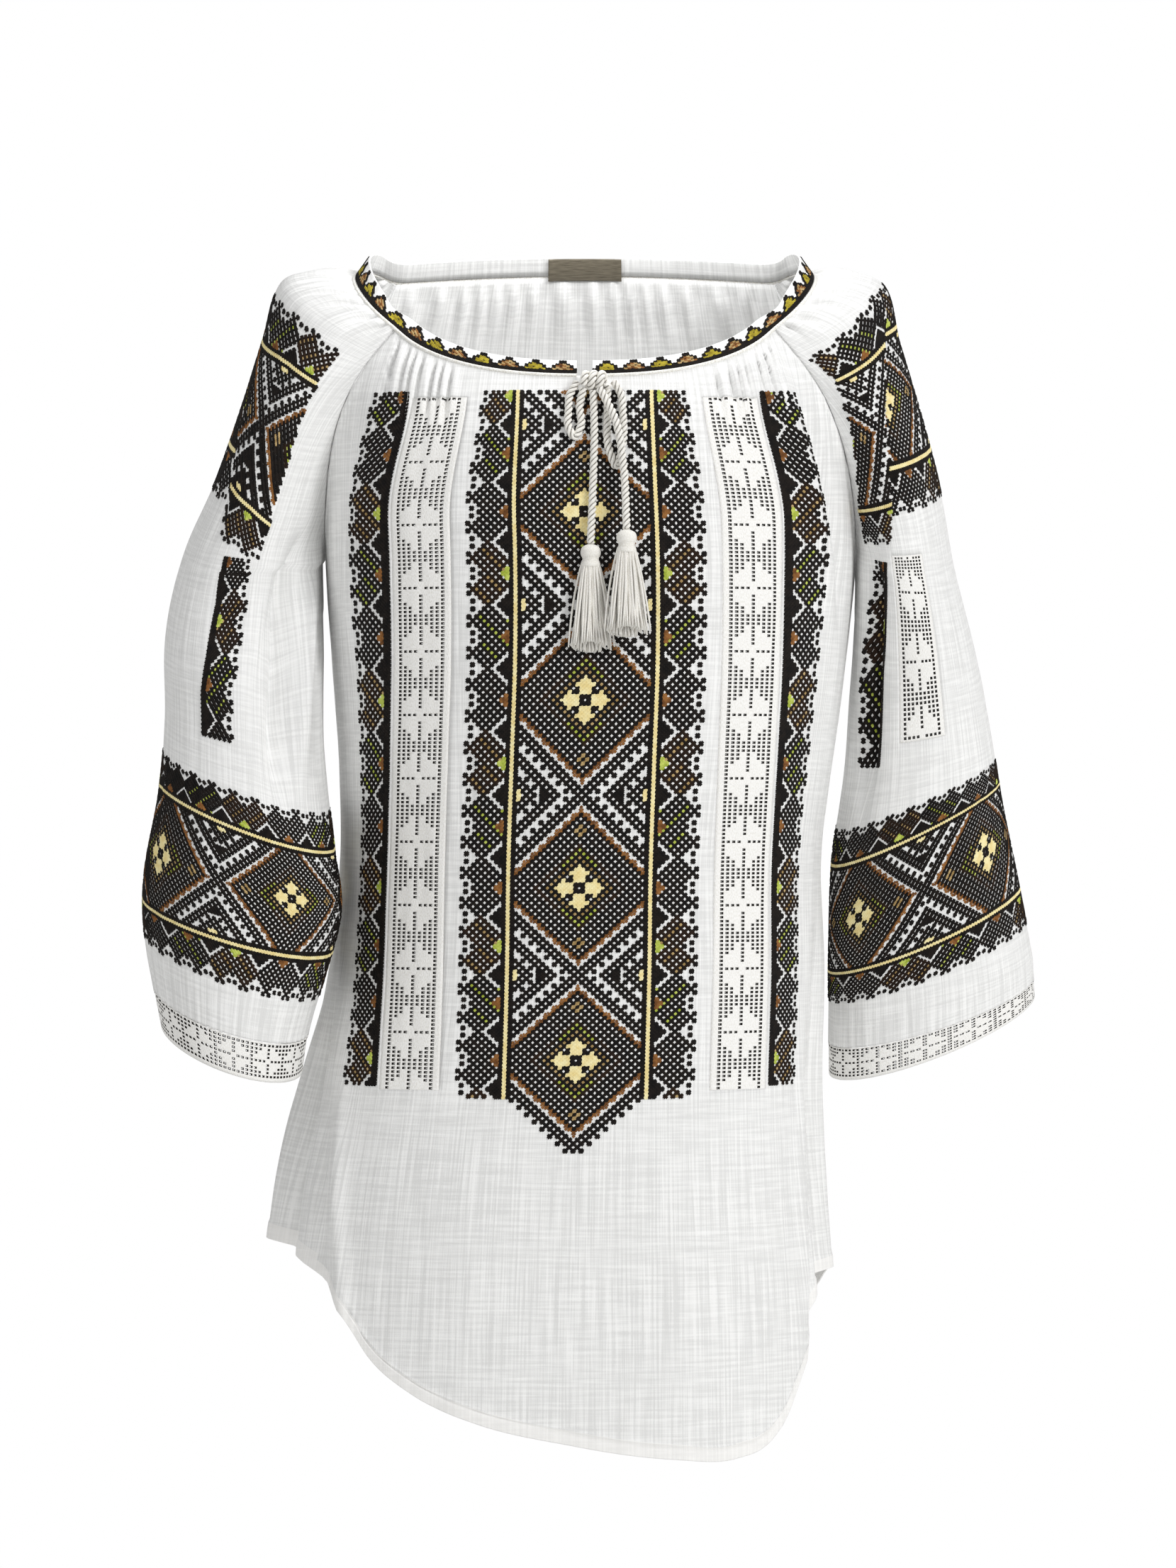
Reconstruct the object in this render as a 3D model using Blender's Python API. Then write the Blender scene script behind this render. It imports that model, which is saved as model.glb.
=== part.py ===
"""Folk blouse of thin white cotton, held in its worn shape with nobody in it.

The front and back hang as one wide tube from a gathered neck. Each sleeve runs up to the neck
band between a front and a back slanting seam. The front has two lace insertions, one sleeve has
one, and both sleeves end in a lace cuff. A drawstring with two tassels is tied at the neck.

Axes: +X is the wearer's left, -Y is the front, +Z is up. The origin is midway between the
shoulders, at their height. "Down" is the depth below the origin. A "share" is the part of the
way round the body from the front centre line to a side, so 1 is the wearer's left side, 2 the
back's centre line and -1 the right side. Sizes are in metres and turns in degrees.
"""

import math

import bpy
import numpy as np
from mathutils import Vector
from mathutils.geometry import delaunay_2d_cdt

CLOTH = 0.0012
LACE = 0.0010
SEAM_GAP = 0.0003
SECTION_POWER = 2.3  # how square the body's sections are; 2 would be an ellipse

NECK_DROP = 0.067
BAND_WIDTH = 0.0125
BAND_WALL = 0.0014
BAND_LIFT = 0.0016  # from the neck seam to the band's lower edge
BAND_SLIT = 0.0050  # half of the slit that the drawstring comes out of

# Lace insertions of the front: distances round the body from its centre line, and depths.
LACE_NEAR = 0.0830
LACE_FAR = 0.1240
LACE_TOP = 0.0800
LACE_END = 0.5000
NECK_EASE = 0.06  # how much the gathers draw distances in at the neck, near the centre
SIDE_EASE = 0.085  # and how much more they do from EASE_FROM outwards
EASE_FROM = 0.045
EASE_WIDTH = 0.030
EASE_REACH = 0.09

BODY_COLUMNS = ("down", "middle", "right", "left", "front", "back")
BODY_SECTIONS = [
    (-0.014, 0.000, 0.147, 0.147, 0.046, 0.056),
    (0.010, 0.000, 0.150, 0.150, 0.052, 0.064),
    (0.036, 0.000, 0.155, 0.155, 0.066, 0.075),
    (0.064, 0.000, 0.160, 0.161, 0.084, 0.084),
    (0.100, 0.000, 0.162, 0.165, 0.099, 0.092),
    (0.140, 0.000, 0.161, 0.167, 0.109, 0.098),
    (0.178, 0.001, 0.161, 0.166, 0.116, 0.101),
    (0.240, 0.001, 0.157, 0.160, 0.121, 0.100),
    (0.300, -0.001, 0.151, 0.154, 0.120, 0.096),
    (0.360, -0.003, 0.148, 0.148, 0.117, 0.095),
    (0.430, -0.004, 0.154, 0.149, 0.117, 0.099),
    (0.505, -0.006, 0.168, 0.150, 0.120, 0.107),
    (0.570, -0.008, 0.180, 0.155, 0.125, 0.115),
    (0.620, -0.009, 0.185, 0.160, 0.128, 0.120),
    (0.760, -0.010, 0.190, 0.164, 0.131, 0.126),
]

# The slanting seams. Both halves give the share of the way from a centre line to the side.
SEAM_COLUMNS = ("along", "front_share", "front_down", "back_share", "back_down")
SEAM_POINTS = [
    (0.00, 0.640, 0.0360, 0.690, 0.0020),
    (0.20, 0.700, 0.0560, 0.730, 0.0300),
    (0.40, 0.765, 0.0800, 0.775, 0.0620),
    (0.60, 0.835, 0.1110, 0.835, 0.1000),
    (0.80, 0.915, 0.1460, 0.910, 0.1400),
    (1.00, 1.000, 0.1780, 1.000, 0.1780),
]

HEM_COLUMNS = ("share", "down")
HEM_POINTS = [
    (-2.00, 0.722),
    (-1.80, 0.710),
    (-1.60, 0.682),
    (-1.40, 0.634),
    (-1.20, 0.605),
    (-1.00, 0.594),
    (-0.80, 0.600),
    (-0.66, 0.612),
    (-0.57, 0.632),
    (-0.48, 0.662),
    (-0.38, 0.681),
    (-0.22, 0.699),
    (0.00, 0.712),
    (0.26, 0.721),
    (0.44, 0.722),
    (0.54, 0.714),
    (0.62, 0.694),
    (0.70, 0.656),
    (0.80, 0.627),
    (1.00, 0.614),
    (1.20, 0.631),
    (1.40, 0.668),
    (1.60, 0.702),
    (1.80, 0.716),
    (2.00, 0.722),
]

# Soft folds: their middle and its drift, their width, how deep they are, and where they fade.
FOLD_COLUMNS = ("place", "width", "depth", "drift", "top", "bottom")
BODY_FOLDS = [
    (-0.815, 0.045, -0.0060, 0.06, 0.430, 0.740),
    (-0.920, 0.060, 0.0040, 0.05, 0.400, 0.740),
    (-0.700, 0.060, 0.0020, 0.04, 0.450, 0.760),
    (0.860, 0.045, -0.0070, -0.03, 0.400, 0.760),
    (0.950, 0.050, 0.0040, -0.02, 0.300, 0.720),
    (0.690, 0.045, 0.0030, 0.12, 0.060, 0.230),
    (-0.690, 0.045, 0.0018, -0.12, 0.060, 0.260),
    (0.300, 0.110, 0.0025, 0.02, 0.520, 0.800),
    (-0.250, 0.130, 0.0025, -0.03, 0.520, 0.800),
    (1.300, 0.080, -0.0060, 0.00, 0.150, 0.740),
    (1.480, 0.080, 0.0050, 0.02, 0.260, 0.780),
    (1.720, 0.080, -0.0060, -0.02, 0.180, 0.800),
    (1.950, 0.070, 0.0050, 0.00, 0.300, 0.800),
    (2.200, 0.080, -0.0060, 0.02, 0.200, 0.800),
    (2.440, 0.080, 0.0050, -0.03, 0.280, 0.780),
    (2.670, 0.080, -0.0060, 0.02, 0.160, 0.740),
]

GATHER_COLUMNS = ("start", "end", "count", "depth")
BODY_GATHERS = [
    (-0.640, -0.370, 7, 0.0013),
    (0.370, 0.640, 7, 0.0013),
    (1.310, 2.690, 14, 0.0016),
]
SLEEVE_GATHERS = [(-1.0, 1.0, 10, 0.0016)]
GATHER_REACH = 0.055

# Each sleeve by its outer line and its inner line, with the middle and half of its depth. The
# lean is how far a section tips down towards the front. Above the armpit the inner line is made
# from the slanting seams.
ARMPIT = 0.221
SLEEVE_COLUMNS = ("along", "outer_x", "outer_down", "inner_x", "inner_down", "y", "deep", "lean")
SLEEVE_RIGHT = [
    (0.000, 0.1430, 0.0015, 0.150, 0.050, 0.000, 0.052, 17.0),
    (0.030, 0.1700, -0.0015, 0.152, 0.060, 0.000, 0.054, 16.0),
    (0.050, 0.1870, 0.0030, 0.154, 0.080, 0.000, 0.056, 16.0),
    (0.085, 0.1995, 0.0400, 0.156, 0.110, -0.003, 0.058, 14.0),
    (0.127, 0.2120, 0.0800, 0.158, 0.140, -0.007, 0.060, 12.0),
    (0.168, 0.2270, 0.1240, 0.160, 0.160, -0.012, 0.061, 11.0),
    (0.221, 0.2480, 0.1740, 0.163, 0.178, -0.020, 0.060, 10.0),
    (0.274, 0.2580, 0.2250, 0.161, 0.236, -0.036, 0.058, 9.0),
    (0.320, 0.2570, 0.2700, 0.160, 0.292, -0.050, 0.058, 9.0),
    (0.377, 0.2600, 0.3200, 0.153, 0.354, -0.064, 0.060, 9.0),
    (0.425, 0.2685, 0.3720, 0.149, 0.396, -0.070, 0.061, 10.0),
    (0.460, 0.2680, 0.4050, 0.159, 0.434, -0.072, 0.061, 11.0),
    (0.487, 0.2630, 0.4340, 0.168, 0.464, -0.072, 0.060, 12.0),
    (0.516, 0.2580, 0.4600, 0.172, 0.490, -0.072, 0.060, 13.0),
]
SLEEVE_LEFT = [
    (0.000, 0.1430, 0.0015, 0.150, 0.050, 0.000, 0.052, 17.0),
    (0.030, 0.1680, -0.0010, 0.152, 0.060, 0.000, 0.054, 16.0),
    (0.050, 0.1845, 0.0050, 0.154, 0.080, 0.000, 0.056, 16.0),
    (0.085, 0.1950, 0.0400, 0.156, 0.110, 0.003, 0.058, 14.0),
    (0.127, 0.2070, 0.0800, 0.158, 0.140, 0.007, 0.059, 12.0),
    (0.168, 0.2195, 0.1240, 0.162, 0.160, 0.012, 0.058, 11.0),
    (0.221, 0.2300, 0.1790, 0.168, 0.178, 0.019, 0.056, 10.0),
    (0.274, 0.2440, 0.2330, 0.167, 0.240, 0.029, 0.053, 9.0),
    (0.320, 0.2540, 0.2830, 0.163, 0.300, 0.036, 0.051, 9.0),
    (0.377, 0.2620, 0.3300, 0.155, 0.364, 0.041, 0.050, 9.0),
    (0.425, 0.2740, 0.3880, 0.153, 0.420, 0.043, 0.049, 10.0),
    (0.460, 0.2800, 0.4200, 0.153, 0.452, 0.043, 0.048, 12.0),
    (0.487, 0.2810, 0.4350, 0.153, 0.474, 0.042, 0.047, 14.0),
    (0.516, 0.2820, 0.4470, 0.153, 0.496, 0.041, 0.047, 17.0),
]
CAP_COLUMNS = ("along", "seam", "spread")
CAP_POINTS = [
    (0.000, 0.00, 90.0),
    (0.030, 0.07, 93.0),
    (0.050, 0.14, 97.0),
    (0.085, 0.29, 107.0),
    (0.127, 0.53, 125.0),
    (0.168, 0.78, 148.0),
    (0.221, 1.00, 180.0),
]
CUFF_START = 0.490
CUFF_END = 0.516

# Folds of the sleeves. A turn of 0 is the outer line, -90 the front and 180 the underarm.
SLEEVE_RIGHT_FOLDS = [
    (-128.0, 15.0, -0.0065, 18.0, 0.170, 0.350),
    (-152.0, 16.0, 0.0040, 14.0, 0.190, 0.340),
    (-104.0, 15.0, 0.0030, 14.0, 0.190, 0.350),
    (120.0, 20.0, -0.0050, 0.0, 0.200, 0.480),
    (70.0, 22.0, 0.0035, 0.0, 0.180, 0.480),
]
SLEEVE_LEFT_FOLDS = [
    (-128.0, 15.0, -0.0045, -8.0, 0.180, 0.330),
    (-148.0, 16.0, 0.0030, -6.0, 0.200, 0.330),
    (120.0, 20.0, -0.0050, 0.0, 0.200, 0.480),
    (70.0, 22.0, 0.0035, 0.0, 0.180, 0.480),
]

# The lace let into the wearer's left sleeve.
SLEEVE_LACE_START = 0.205
SLEEVE_LACE_END = 0.310
SLEEVE_LACE_TURNS = (-108.0, -70.0)

LABEL_WIDTH = 0.046
LABEL_HEIGHT = 0.0140
LABEL_WALL = 0.0008

# The drawstring, across the front, by depth, and by its distance out from the cloth.
CORD = 0.0050
CORD_GAP = 0.0005  # from the knot to the ends tied into it
CORD_COLUMNS = ("x", "down", "out")
KNOT = (0.0065, 0.0705, 0.0066)
KNOT_SIZE = (0.0105, 0.0065, 0.0063)
TAIL_RIGHT = [
    (0.0050, 0.0776, 0.0070),
    (0.0058, 0.1000, 0.0036),
    (0.0050, 0.1350, 0.0030),
    (0.0036, 0.1705, 0.0073),
]
TAIL_LEFT = [
    (0.0100, 0.0770, 0.0100),
    (0.0185, 0.0950, 0.0106),
    (0.0235, 0.1250, 0.0098),
    (0.0252, 0.1620, 0.0181),
]
LOOP_RIGHT = [
    (-0.0014, 0.0756, 0.0066),
    (-0.0030, 0.0860, 0.0036),
    (-0.0024, 0.0990, 0.0030),
    (-0.0062, 0.1050, 0.0030),
    (-0.0098, 0.0990, 0.0030),
    (-0.0098, 0.0890, 0.0034),
    (-0.0090, 0.0795, 0.0045),
    (-0.0064, 0.0712, 0.0066),
]
LOOP_LEFT = [
    (0.0152, 0.0768, 0.0040),
    (0.0138, 0.0900, 0.0031),
    (0.0148, 0.1130, 0.0030),
    (0.0190, 0.1230, 0.0030),
    (0.0226, 0.1120, 0.0030),
    (0.0232, 0.0920, 0.0031),
    (0.0220, 0.0790, 0.0045),
    (0.0192, 0.0706, 0.0066),
]
TASSEL_COLUMNS = ("x", "down", "out", "tip")
TASSEL_RIGHT = (0.0036, 0.1708, 0.0074, 0.2380)
TASSEL_LEFT = (0.0252, 0.1623, 0.0182, 0.2290)
TASSEL_HEAD = 0.0062  # half the width of a tassel's head
TASSEL_HEAD_LENGTH = 0.0125
TASSEL_SPREAD = 0.0160  # half the width of its skirt at the tips
TASSEL_THICKNESS = 0.0042  # half the depth of its skirt at the tips
STRAND = 0.0007
STRAND_RINGS = (1, 6, 12, 18)


def through(knots, values, at):
    """Smooth curve through a table: cubic pieces whose slope at a knot is that of its neighbours."""
    knots = np.asarray(knots, float)
    values = np.asarray(values, float)
    at = np.clip(np.asarray(at, float), knots[0], knots[-1])
    slopes = np.gradient(values, knots)
    i = np.clip(np.searchsorted(knots, at, side="right") - 1, 0, len(knots) - 2)
    step = knots[i + 1] - knots[i]
    t = (at - knots[i]) / step
    first = values[i] * (1 + 2 * t) * (1 - t) ** 2 + slopes[i] * step * t * (1 - t) ** 2
    second = values[i + 1] * t * t * (3 - 2 * t) + slopes[i + 1] * step * t * t * (t - 1)
    return first + second


def column(table, names, name, at):
    """The named column of a table, read at values of its first column."""
    rows = np.array(table, float)
    return through(rows[:, 0], rows[:, names.index(name)], at)


def ease(t):
    """Smooth step from 0 at t = 0 to 1 at t = 1."""
    t = np.clip(t, 0, 1)
    return t * t * (3 - 2 * t)


def quadrant(half_width, depth, samples):
    """A quarter of a squarish oval from its front point to its side point, evenly spaced."""
    angle = np.linspace(0, math.pi / 2, 400)
    x = half_width * np.sin(angle) ** (2 / SECTION_POWER)
    y = depth * np.cos(angle) ** (2 / SECTION_POWER)
    along = np.concatenate([[0], np.cumsum(np.hypot(np.diff(x), np.diff(y)))])
    even = np.linspace(0, along[-1], samples)
    return np.interp(even, along, x), np.interp(even, along, y), along[-1]


LEVELS = np.linspace(BODY_SECTIONS[0][0], BODY_SECTIONS[-1][0], 156)
QUARTER = 60


def body_table():
    """Points of the body by level and by share, and the length of its two front quarters."""
    size = {name: column(BODY_SECTIONS, BODY_COLUMNS, name, LEVELS) for name in BODY_COLUMNS}
    points = np.zeros((len(LEVELS), 4 * QUARTER + 1, 3))
    quarters = np.zeros((len(LEVELS), 2))
    for k in range(len(LEVELS)):
        for half, side in enumerate((-1, 1)):
            width = size["right" if side < 0 else "left"][k]
            front_x, front_y, quarters[k, half] = quadrant(width, size["front"][k], QUARTER + 1)
            back_x, back_y, _ = quadrant(width, size["back"][k], QUARTER + 1)
            x = size["middle"][k] + side * np.concatenate([front_x, back_x[-2::-1]])
            y = np.concatenate([-front_y, back_y[-2::-1]])
            row = np.stack([x, y, np.full(len(x), -LEVELS[k])], axis=1)
            if side > 0:
                points[k, 2 * QUARTER:] = row
            else:
                points[k, : 2 * QUARTER + 1] = row[::-1]
    return points, quarters


BODY, QUARTERS = body_table()


def body_plain(share, down):
    """Point of the body before its folds."""
    share, down = np.broadcast_arrays(np.asarray(share, float), np.asarray(down, float))
    share = (share + 2) % 4 - 2
    level = np.clip((down - LEVELS[0]) / (LEVELS[1] - LEVELS[0]), 0, len(LEVELS) - 1.001)
    place = (share + 2) * QUARTER
    i = np.floor(level).astype(int)
    j = np.clip(np.floor(place).astype(int), 0, 4 * QUARTER - 1)
    s = (level - i)[..., None]
    t = (place - j)[..., None]
    upper = BODY[i, j] * (1 - t) + BODY[i, j + 1] * t
    lower = BODY[i + 1, j] * (1 - t) + BODY[i + 1, j + 1] * t
    return upper * (1 - s) + lower * s


def outward(surface, a, b, step_a, step_b):
    """Unit normal of a surface whose first parameter runs round it and second runs down it."""
    across = surface(a + step_a, b) - surface(a - step_a, b)
    along = surface(a, b + step_b) - surface(a, b - step_b)
    normal = np.cross(along, across)
    return normal / np.maximum(np.linalg.norm(normal, axis=-1, keepdims=True), 1e-12)


def folds(table, place, along, whole):
    """Sum of soft ridges and troughs: a bell across each fold that fades in and out along it.

    whole is the way round in the units of place, so a fold carries on across a closing seam.
    """
    total = np.zeros(np.broadcast(place, along).shape)
    for centre, width, depth, drift, top, bottom in table:
        t = (along - top) / (bottom - top)
        aside = place - centre - drift * (t - 0.5)
        across = ((aside + whole / 2) % whole - whole / 2) / width
        total += depth * np.exp(-(across**2)) * ease(t / 0.35) * ease((1 - t) / 0.35)
    return total


def gathers(table, place, distance):
    """Waves below the neck band, deepest a little way down and gone at their reach."""
    wave = np.zeros(np.broadcast(place, distance).shape)
    for start, end, count, depth in table:
        t = (place - start) / (end - start)
        edge = ease(t * count) * ease((1 - t) * count)
        wave += depth * edge * np.cos(2 * math.pi * t * count)
    return wave * ease(distance / 0.014) * (1 - ease(distance / GATHER_REACH))


def neck_down(share):
    """Depth of the neck seam: a flat-bottomed scoop in front, and nearly level behind."""
    share = (np.asarray(share, float) + 2) % 4 - 2
    end, end_down = SEAM_POINTS[0][1:3]
    scoop = (1 - np.minimum(np.abs(share) / end, 1) ** 2.4) ** 0.9
    front = end_down + (NECK_DROP - end_down) * scoop
    back_end, back_down = SEAM_POINTS[0][3:5]
    rise = 1 - np.minimum((2 - np.abs(share)) / back_end, 1) ** 2
    return np.where(np.abs(share) < 1, front, back_down - 0.006 * rise)


def body_point(share, down):
    """Point of the body with its folds and gathers."""
    share, down = np.broadcast_arrays(np.asarray(share, float), np.asarray(down, float))
    place = (share + 1) % 4 - 1
    size = folds(BODY_FOLDS, place, down, 4.0)
    size = size + gathers(BODY_GATHERS, place, down - neck_down(share))
    normal = outward(body_plain, share, down, 0.03, 0.008)
    return body_plain(share, down) + normal * size[..., None]


def share_at(distance, down):
    """Share of the way to the side for a distance round the front from its centre line."""
    distance = np.asarray(distance, float)
    right = np.interp(down, LEVELS, QUARTERS[:, 0])
    left = np.interp(down, LEVELS, QUARTERS[:, 1])
    drawn = NECK_EASE + SIDE_EASE * ease((np.abs(distance) - EASE_FROM) / EASE_WIDTH)
    pull = 1 - drawn * (1 - ease((down - NECK_DROP) / EASE_REACH))
    return distance * pull / np.where(distance < 0, right, left)


def seam(along, side, half, inset=0.0):
    """Share and depth of a slanting seam, moved into its panel by a small inset."""
    share = column(SEAM_POINTS, SEAM_COLUMNS, half + "_share", along) - inset
    down = column(SEAM_POINTS, SEAM_COLUMNS, half + "_down", along)
    return side * (share if half == "front" else 2 - share), down


def hem_down(share):
    return column(HEM_POINTS, HEM_COLUMNS, "down", (np.asarray(share, float) + 2) % 4 - 2)


def sleeve_plain(side, table, turn, along):
    """Point of a sleeve before its folds.

    A section is an oval through the outer and inner lines. Above the armpit it is open: it spans
    only the turns between the slanting seams, and its ends are drawn onto them.
    """
    turn, along = np.broadcast_arrays(np.asarray(turn, float), np.asarray(along, float))
    read = {name: column(table, SLEEVE_COLUMNS, name, along) for name in SLEEVE_COLUMNS}
    y = read["y"]
    outer = np.stack([side * read["outer_x"], y, -read["outer_down"]], axis=-1)
    settle = ease((along - ARMPIT) / 0.08)
    inner = np.stack([side * read["inner_x"], y * settle, -read["inner_down"]], axis=-1)
    on_seam = column(CAP_POINTS, CAP_COLUMNS, "seam", along)
    spread = np.where(along < ARMPIT, column(CAP_POINTS, CAP_COLUMNS, "spread", along), 180.0)
    ends = []
    for half in ("front", "back"):
        share, down = seam(on_seam, side, half, -0.0013)
        aside = outward(body_plain, share, down, 0.03, 0.008)
        ends.append(body_plain(share, down) + aside * (0.0007 * ease(on_seam))[..., None])
    middle = (ends[0] + ends[1]) / 2
    inner = np.where((along < ARMPIT)[..., None], middle, inner)
    spread_cos = np.cos(np.radians(spread))
    reach = -spread_cos / (1 - spread_cos)
    centre = inner + (outer - inner) * reach[..., None]
    lean = np.radians(read["lean"])
    front = np.stack([0 * lean, -np.cos(lean), -np.sin(lean)], axis=-1) * read["deep"][..., None]

    def oval(angle):
        c = np.cos(np.radians(angle))[..., None]
        s = np.sin(np.radians(angle))[..., None]
        return centre + (outer - centre) * c - front * s

    point = oval(turn)
    weight = (np.abs(turn) / spread) ** 2
    end = np.where((turn < 0)[..., None], ends[0] - oval(-spread), ends[1] - oval(spread))
    end = np.where((along < ARMPIT)[..., None], end, 0)
    return point + end * weight[..., None]


def sleeve_point(side, turn, along):
    """Point of a sleeve with its folds and gathers. side is 1 for the wearer's left."""
    table = SLEEVE_LEFT if side > 0 else SLEEVE_RIGHT
    creases = SLEEVE_LEFT_FOLDS if side > 0 else SLEEVE_RIGHT_FOLDS
    turn, along = np.broadcast_arrays(np.asarray(turn, float), np.asarray(along, float))

    def plain(a, b):
        return sleeve_plain(side, table, a, b)

    spread = np.where(along < ARMPIT, column(CAP_POINTS, CAP_COLUMNS, "spread", along), 180.0)
    size = folds(creases, turn, along, 360.0) + gathers(SLEEVE_GATHERS, turn / spread, along)
    free = ease((along - ARMPIT) / 0.05)
    size = size * (free + (1 - free) * ease((spread - np.abs(turn)) / 12.0))
    inside = np.clip(turn, -spread + 2.0, spread - 2.0)
    normal = side * outward(plain, inside, np.maximum(along, 0.004), 2.0, 0.004)
    return plain(turn, along) + normal * size[..., None]


def body_normal(share, down):
    return outward(body_point, np.asarray(share, float), np.asarray(down, float), 0.010, 0.003)


def sleeve_normal(side, turn, along):
    """Unit normal of a sleeve. Along the slanting seams it turns into that of the body."""
    turn, along = np.broadcast_arrays(np.asarray(turn, float), np.asarray(along, float))

    def surface(a, b):
        return sleeve_point(side, a, b)

    spread = np.where(along < ARMPIT, column(CAP_POINTS, CAP_COLUMNS, "spread", along), 180.0)
    inside = np.where(along < ARMPIT, np.clip(turn, -spread + 3, spread - 3), turn)
    own = side * outward(surface, inside, np.maximum(along, 0.005), 2.5, 0.003)
    on_seam = column(CAP_POINTS, CAP_COLUMNS, "seam", along)
    shared = np.where(along < ARMPIT, 1 - ease((on_seam - 0.35) / 0.4), 0)
    shared = shared * (np.abs(turn) > spread - 0.5)
    half = np.where(turn < 0, 0, 1)
    seams = [seam(on_seam, side, name) for name in ("front", "back")]
    share = np.where(half == 0, seams[0][0], seams[1][0])
    down = np.where(half == 0, seams[0][1], seams[1][1])
    normal = own + (body_normal(share, down) - own) * shared[..., None]
    return normal / np.linalg.norm(normal, axis=-1, keepdims=True)


def inside_loop(points, loop):
    """Which points lie inside a closed loop, by counting crossings."""
    x, y = points[:, 0], points[:, 1]
    hit = np.zeros(len(points), bool)
    for (ax, ay), (bx, by) in zip(loop, np.roll(loop, -1, axis=0)):
        if ay == by:
            continue
        cross = (ay > y) != (by > y)
        hit ^= cross & (x < (bx - ax) * (y - ay) / (by - ay) + ax)
    return hit


def triangles(outline, holes, wanted):
    """Triangles of a flat outline with holes.

    wanted is a list of points and spacings. A point is taken when none stands nearer than that.
    """
    kept = [np.asarray(outline, float)] + [np.asarray(h, float) for h in holes]
    taken = np.concatenate(kept)
    for points, spacing in wanted:
        points = points[inside_loop(points, kept[0])]
        for hole in kept[1:]:
            points = points[~inside_loop(points, hole)]
        for point in points:
            if np.min(np.sum((taken - point) ** 2, axis=1)) > spacing**2:
                taken = np.concatenate([taken, point[None]])
    edges = []
    start = 0
    for loop in kept:
        count = len(loop)
        edges += [(start + i, start + (i + 1) % count) for i in range(count)]
        start += count
    found = delaunay_2d_cdt([Vector(p) for p in taken], edges, [], 0, 1e-9)
    flat = np.array([tuple(v) for v in found[0]])
    faces = np.array([tuple(f) for f in found[2]])
    middles = flat[faces].mean(axis=1)
    good = inside_loop(middles, kept[0])
    for hole in kept[1:]:
        good &= ~inside_loop(middles, hole)
    return flat, faces[good]


def make(name, points, faces):
    """Add one mesh object to the scene."""
    mesh = bpy.data.meshes.new(name)
    mesh.from_pydata([tuple(p) for p in points], [], [tuple(int(i) for i in f) for f in faces])
    mesh.validate()
    thing = bpy.data.objects.new(name, mesh)
    bpy.context.collection.objects.link(thing)
    return thing


def shell(name, points, normals, faces, wall):
    """A closed solid: the given outer face, an inner face one wall inside it, and the edges."""
    keys = np.round(points / 2e-6).astype(np.int64)
    _, first, back = np.unique(keys, axis=0, return_index=True, return_inverse=True)
    points = points[first]
    inner = points - normals[first] * wall
    faces = np.asarray(back).reshape(-1)[faces]
    count = len(points)
    solid = [tuple(f) for f in faces] + [tuple(f[::-1] + count) for f in faces]
    directed = {(int(f[k]), int(f[(k + 1) % 3])) for f in faces for k in range(3)}
    for a, b in sorted(directed):
        if (b, a) not in directed:
            solid.append((b, a, a + count))
            solid.append((b, a + count, b + count))
    return make(name, np.concatenate([points, inner]), solid)


ROUND = 0.23  # metres in one share, for spacing points on the body
GAP_SHARE = SEAM_GAP / 2 / ROUND
SEAM_STEPS = np.linspace(0, 1, 13)


def body_outline(half):
    """Loop of shares and depths round the front or the back panel."""
    inset = GAP_SHARE
    low, high = (-1.0, 1.0) if half == "front" else (3.0, 1.0)
    sign = 1 if half == "front" else -1
    seam_left, down_left = seam(SEAM_STEPS, 1, half, inset)
    seam_right, down_right = seam(SEAM_STEPS, -1, half, inset)
    if half == "back":
        seam_right = seam_right + 4
    neck = np.linspace(seam_right[0], seam_left[0], 43)
    side_right = np.linspace(down_right[-1], float(hem_down(low)), 16)[1:]
    side_left = np.linspace(down_left[-1], float(hem_down(high)), 16)[1:]
    hem = np.linspace(low, high, 31)[1:-1]
    loop = [(s, d) for s, d in zip(neck, neck_down(neck))]
    loop += [(s, d) for s, d in zip(seam_left[1:], down_left[1:])]
    loop += [(high - sign * inset, d) for d in side_left]
    loop += [(s, d) for s, d in zip(hem[::-1], hem_down(hem[::-1]))]
    loop += [(low + sign * inset, d) for d in side_right[::-1]]
    loop += [(s, d) for s, d in zip(seam_right[:0:-1], down_right[:0:-1])]
    return np.array(loop)


def lace_loop(side, inset):
    """Loop of shares and depths round a lace insertion of the front."""
    near, far = LACE_NEAR + inset, LACE_FAR - inset
    top, end = LACE_TOP + inset, LACE_END - inset
    downs = np.linspace(top, end, 20)
    across = np.linspace(near, far, 4)[1:-1]
    loop = [(near, d) for d in downs] + [(a, end) for a in across]
    loop += [(far, d) for d in downs[::-1]] + [(a, top) for a in across[::-1]]
    loop = np.array(loop)
    return np.stack([share_at(side * loop[:, 0], loop[:, 1]), loop[:, 1]], axis=1)


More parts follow.
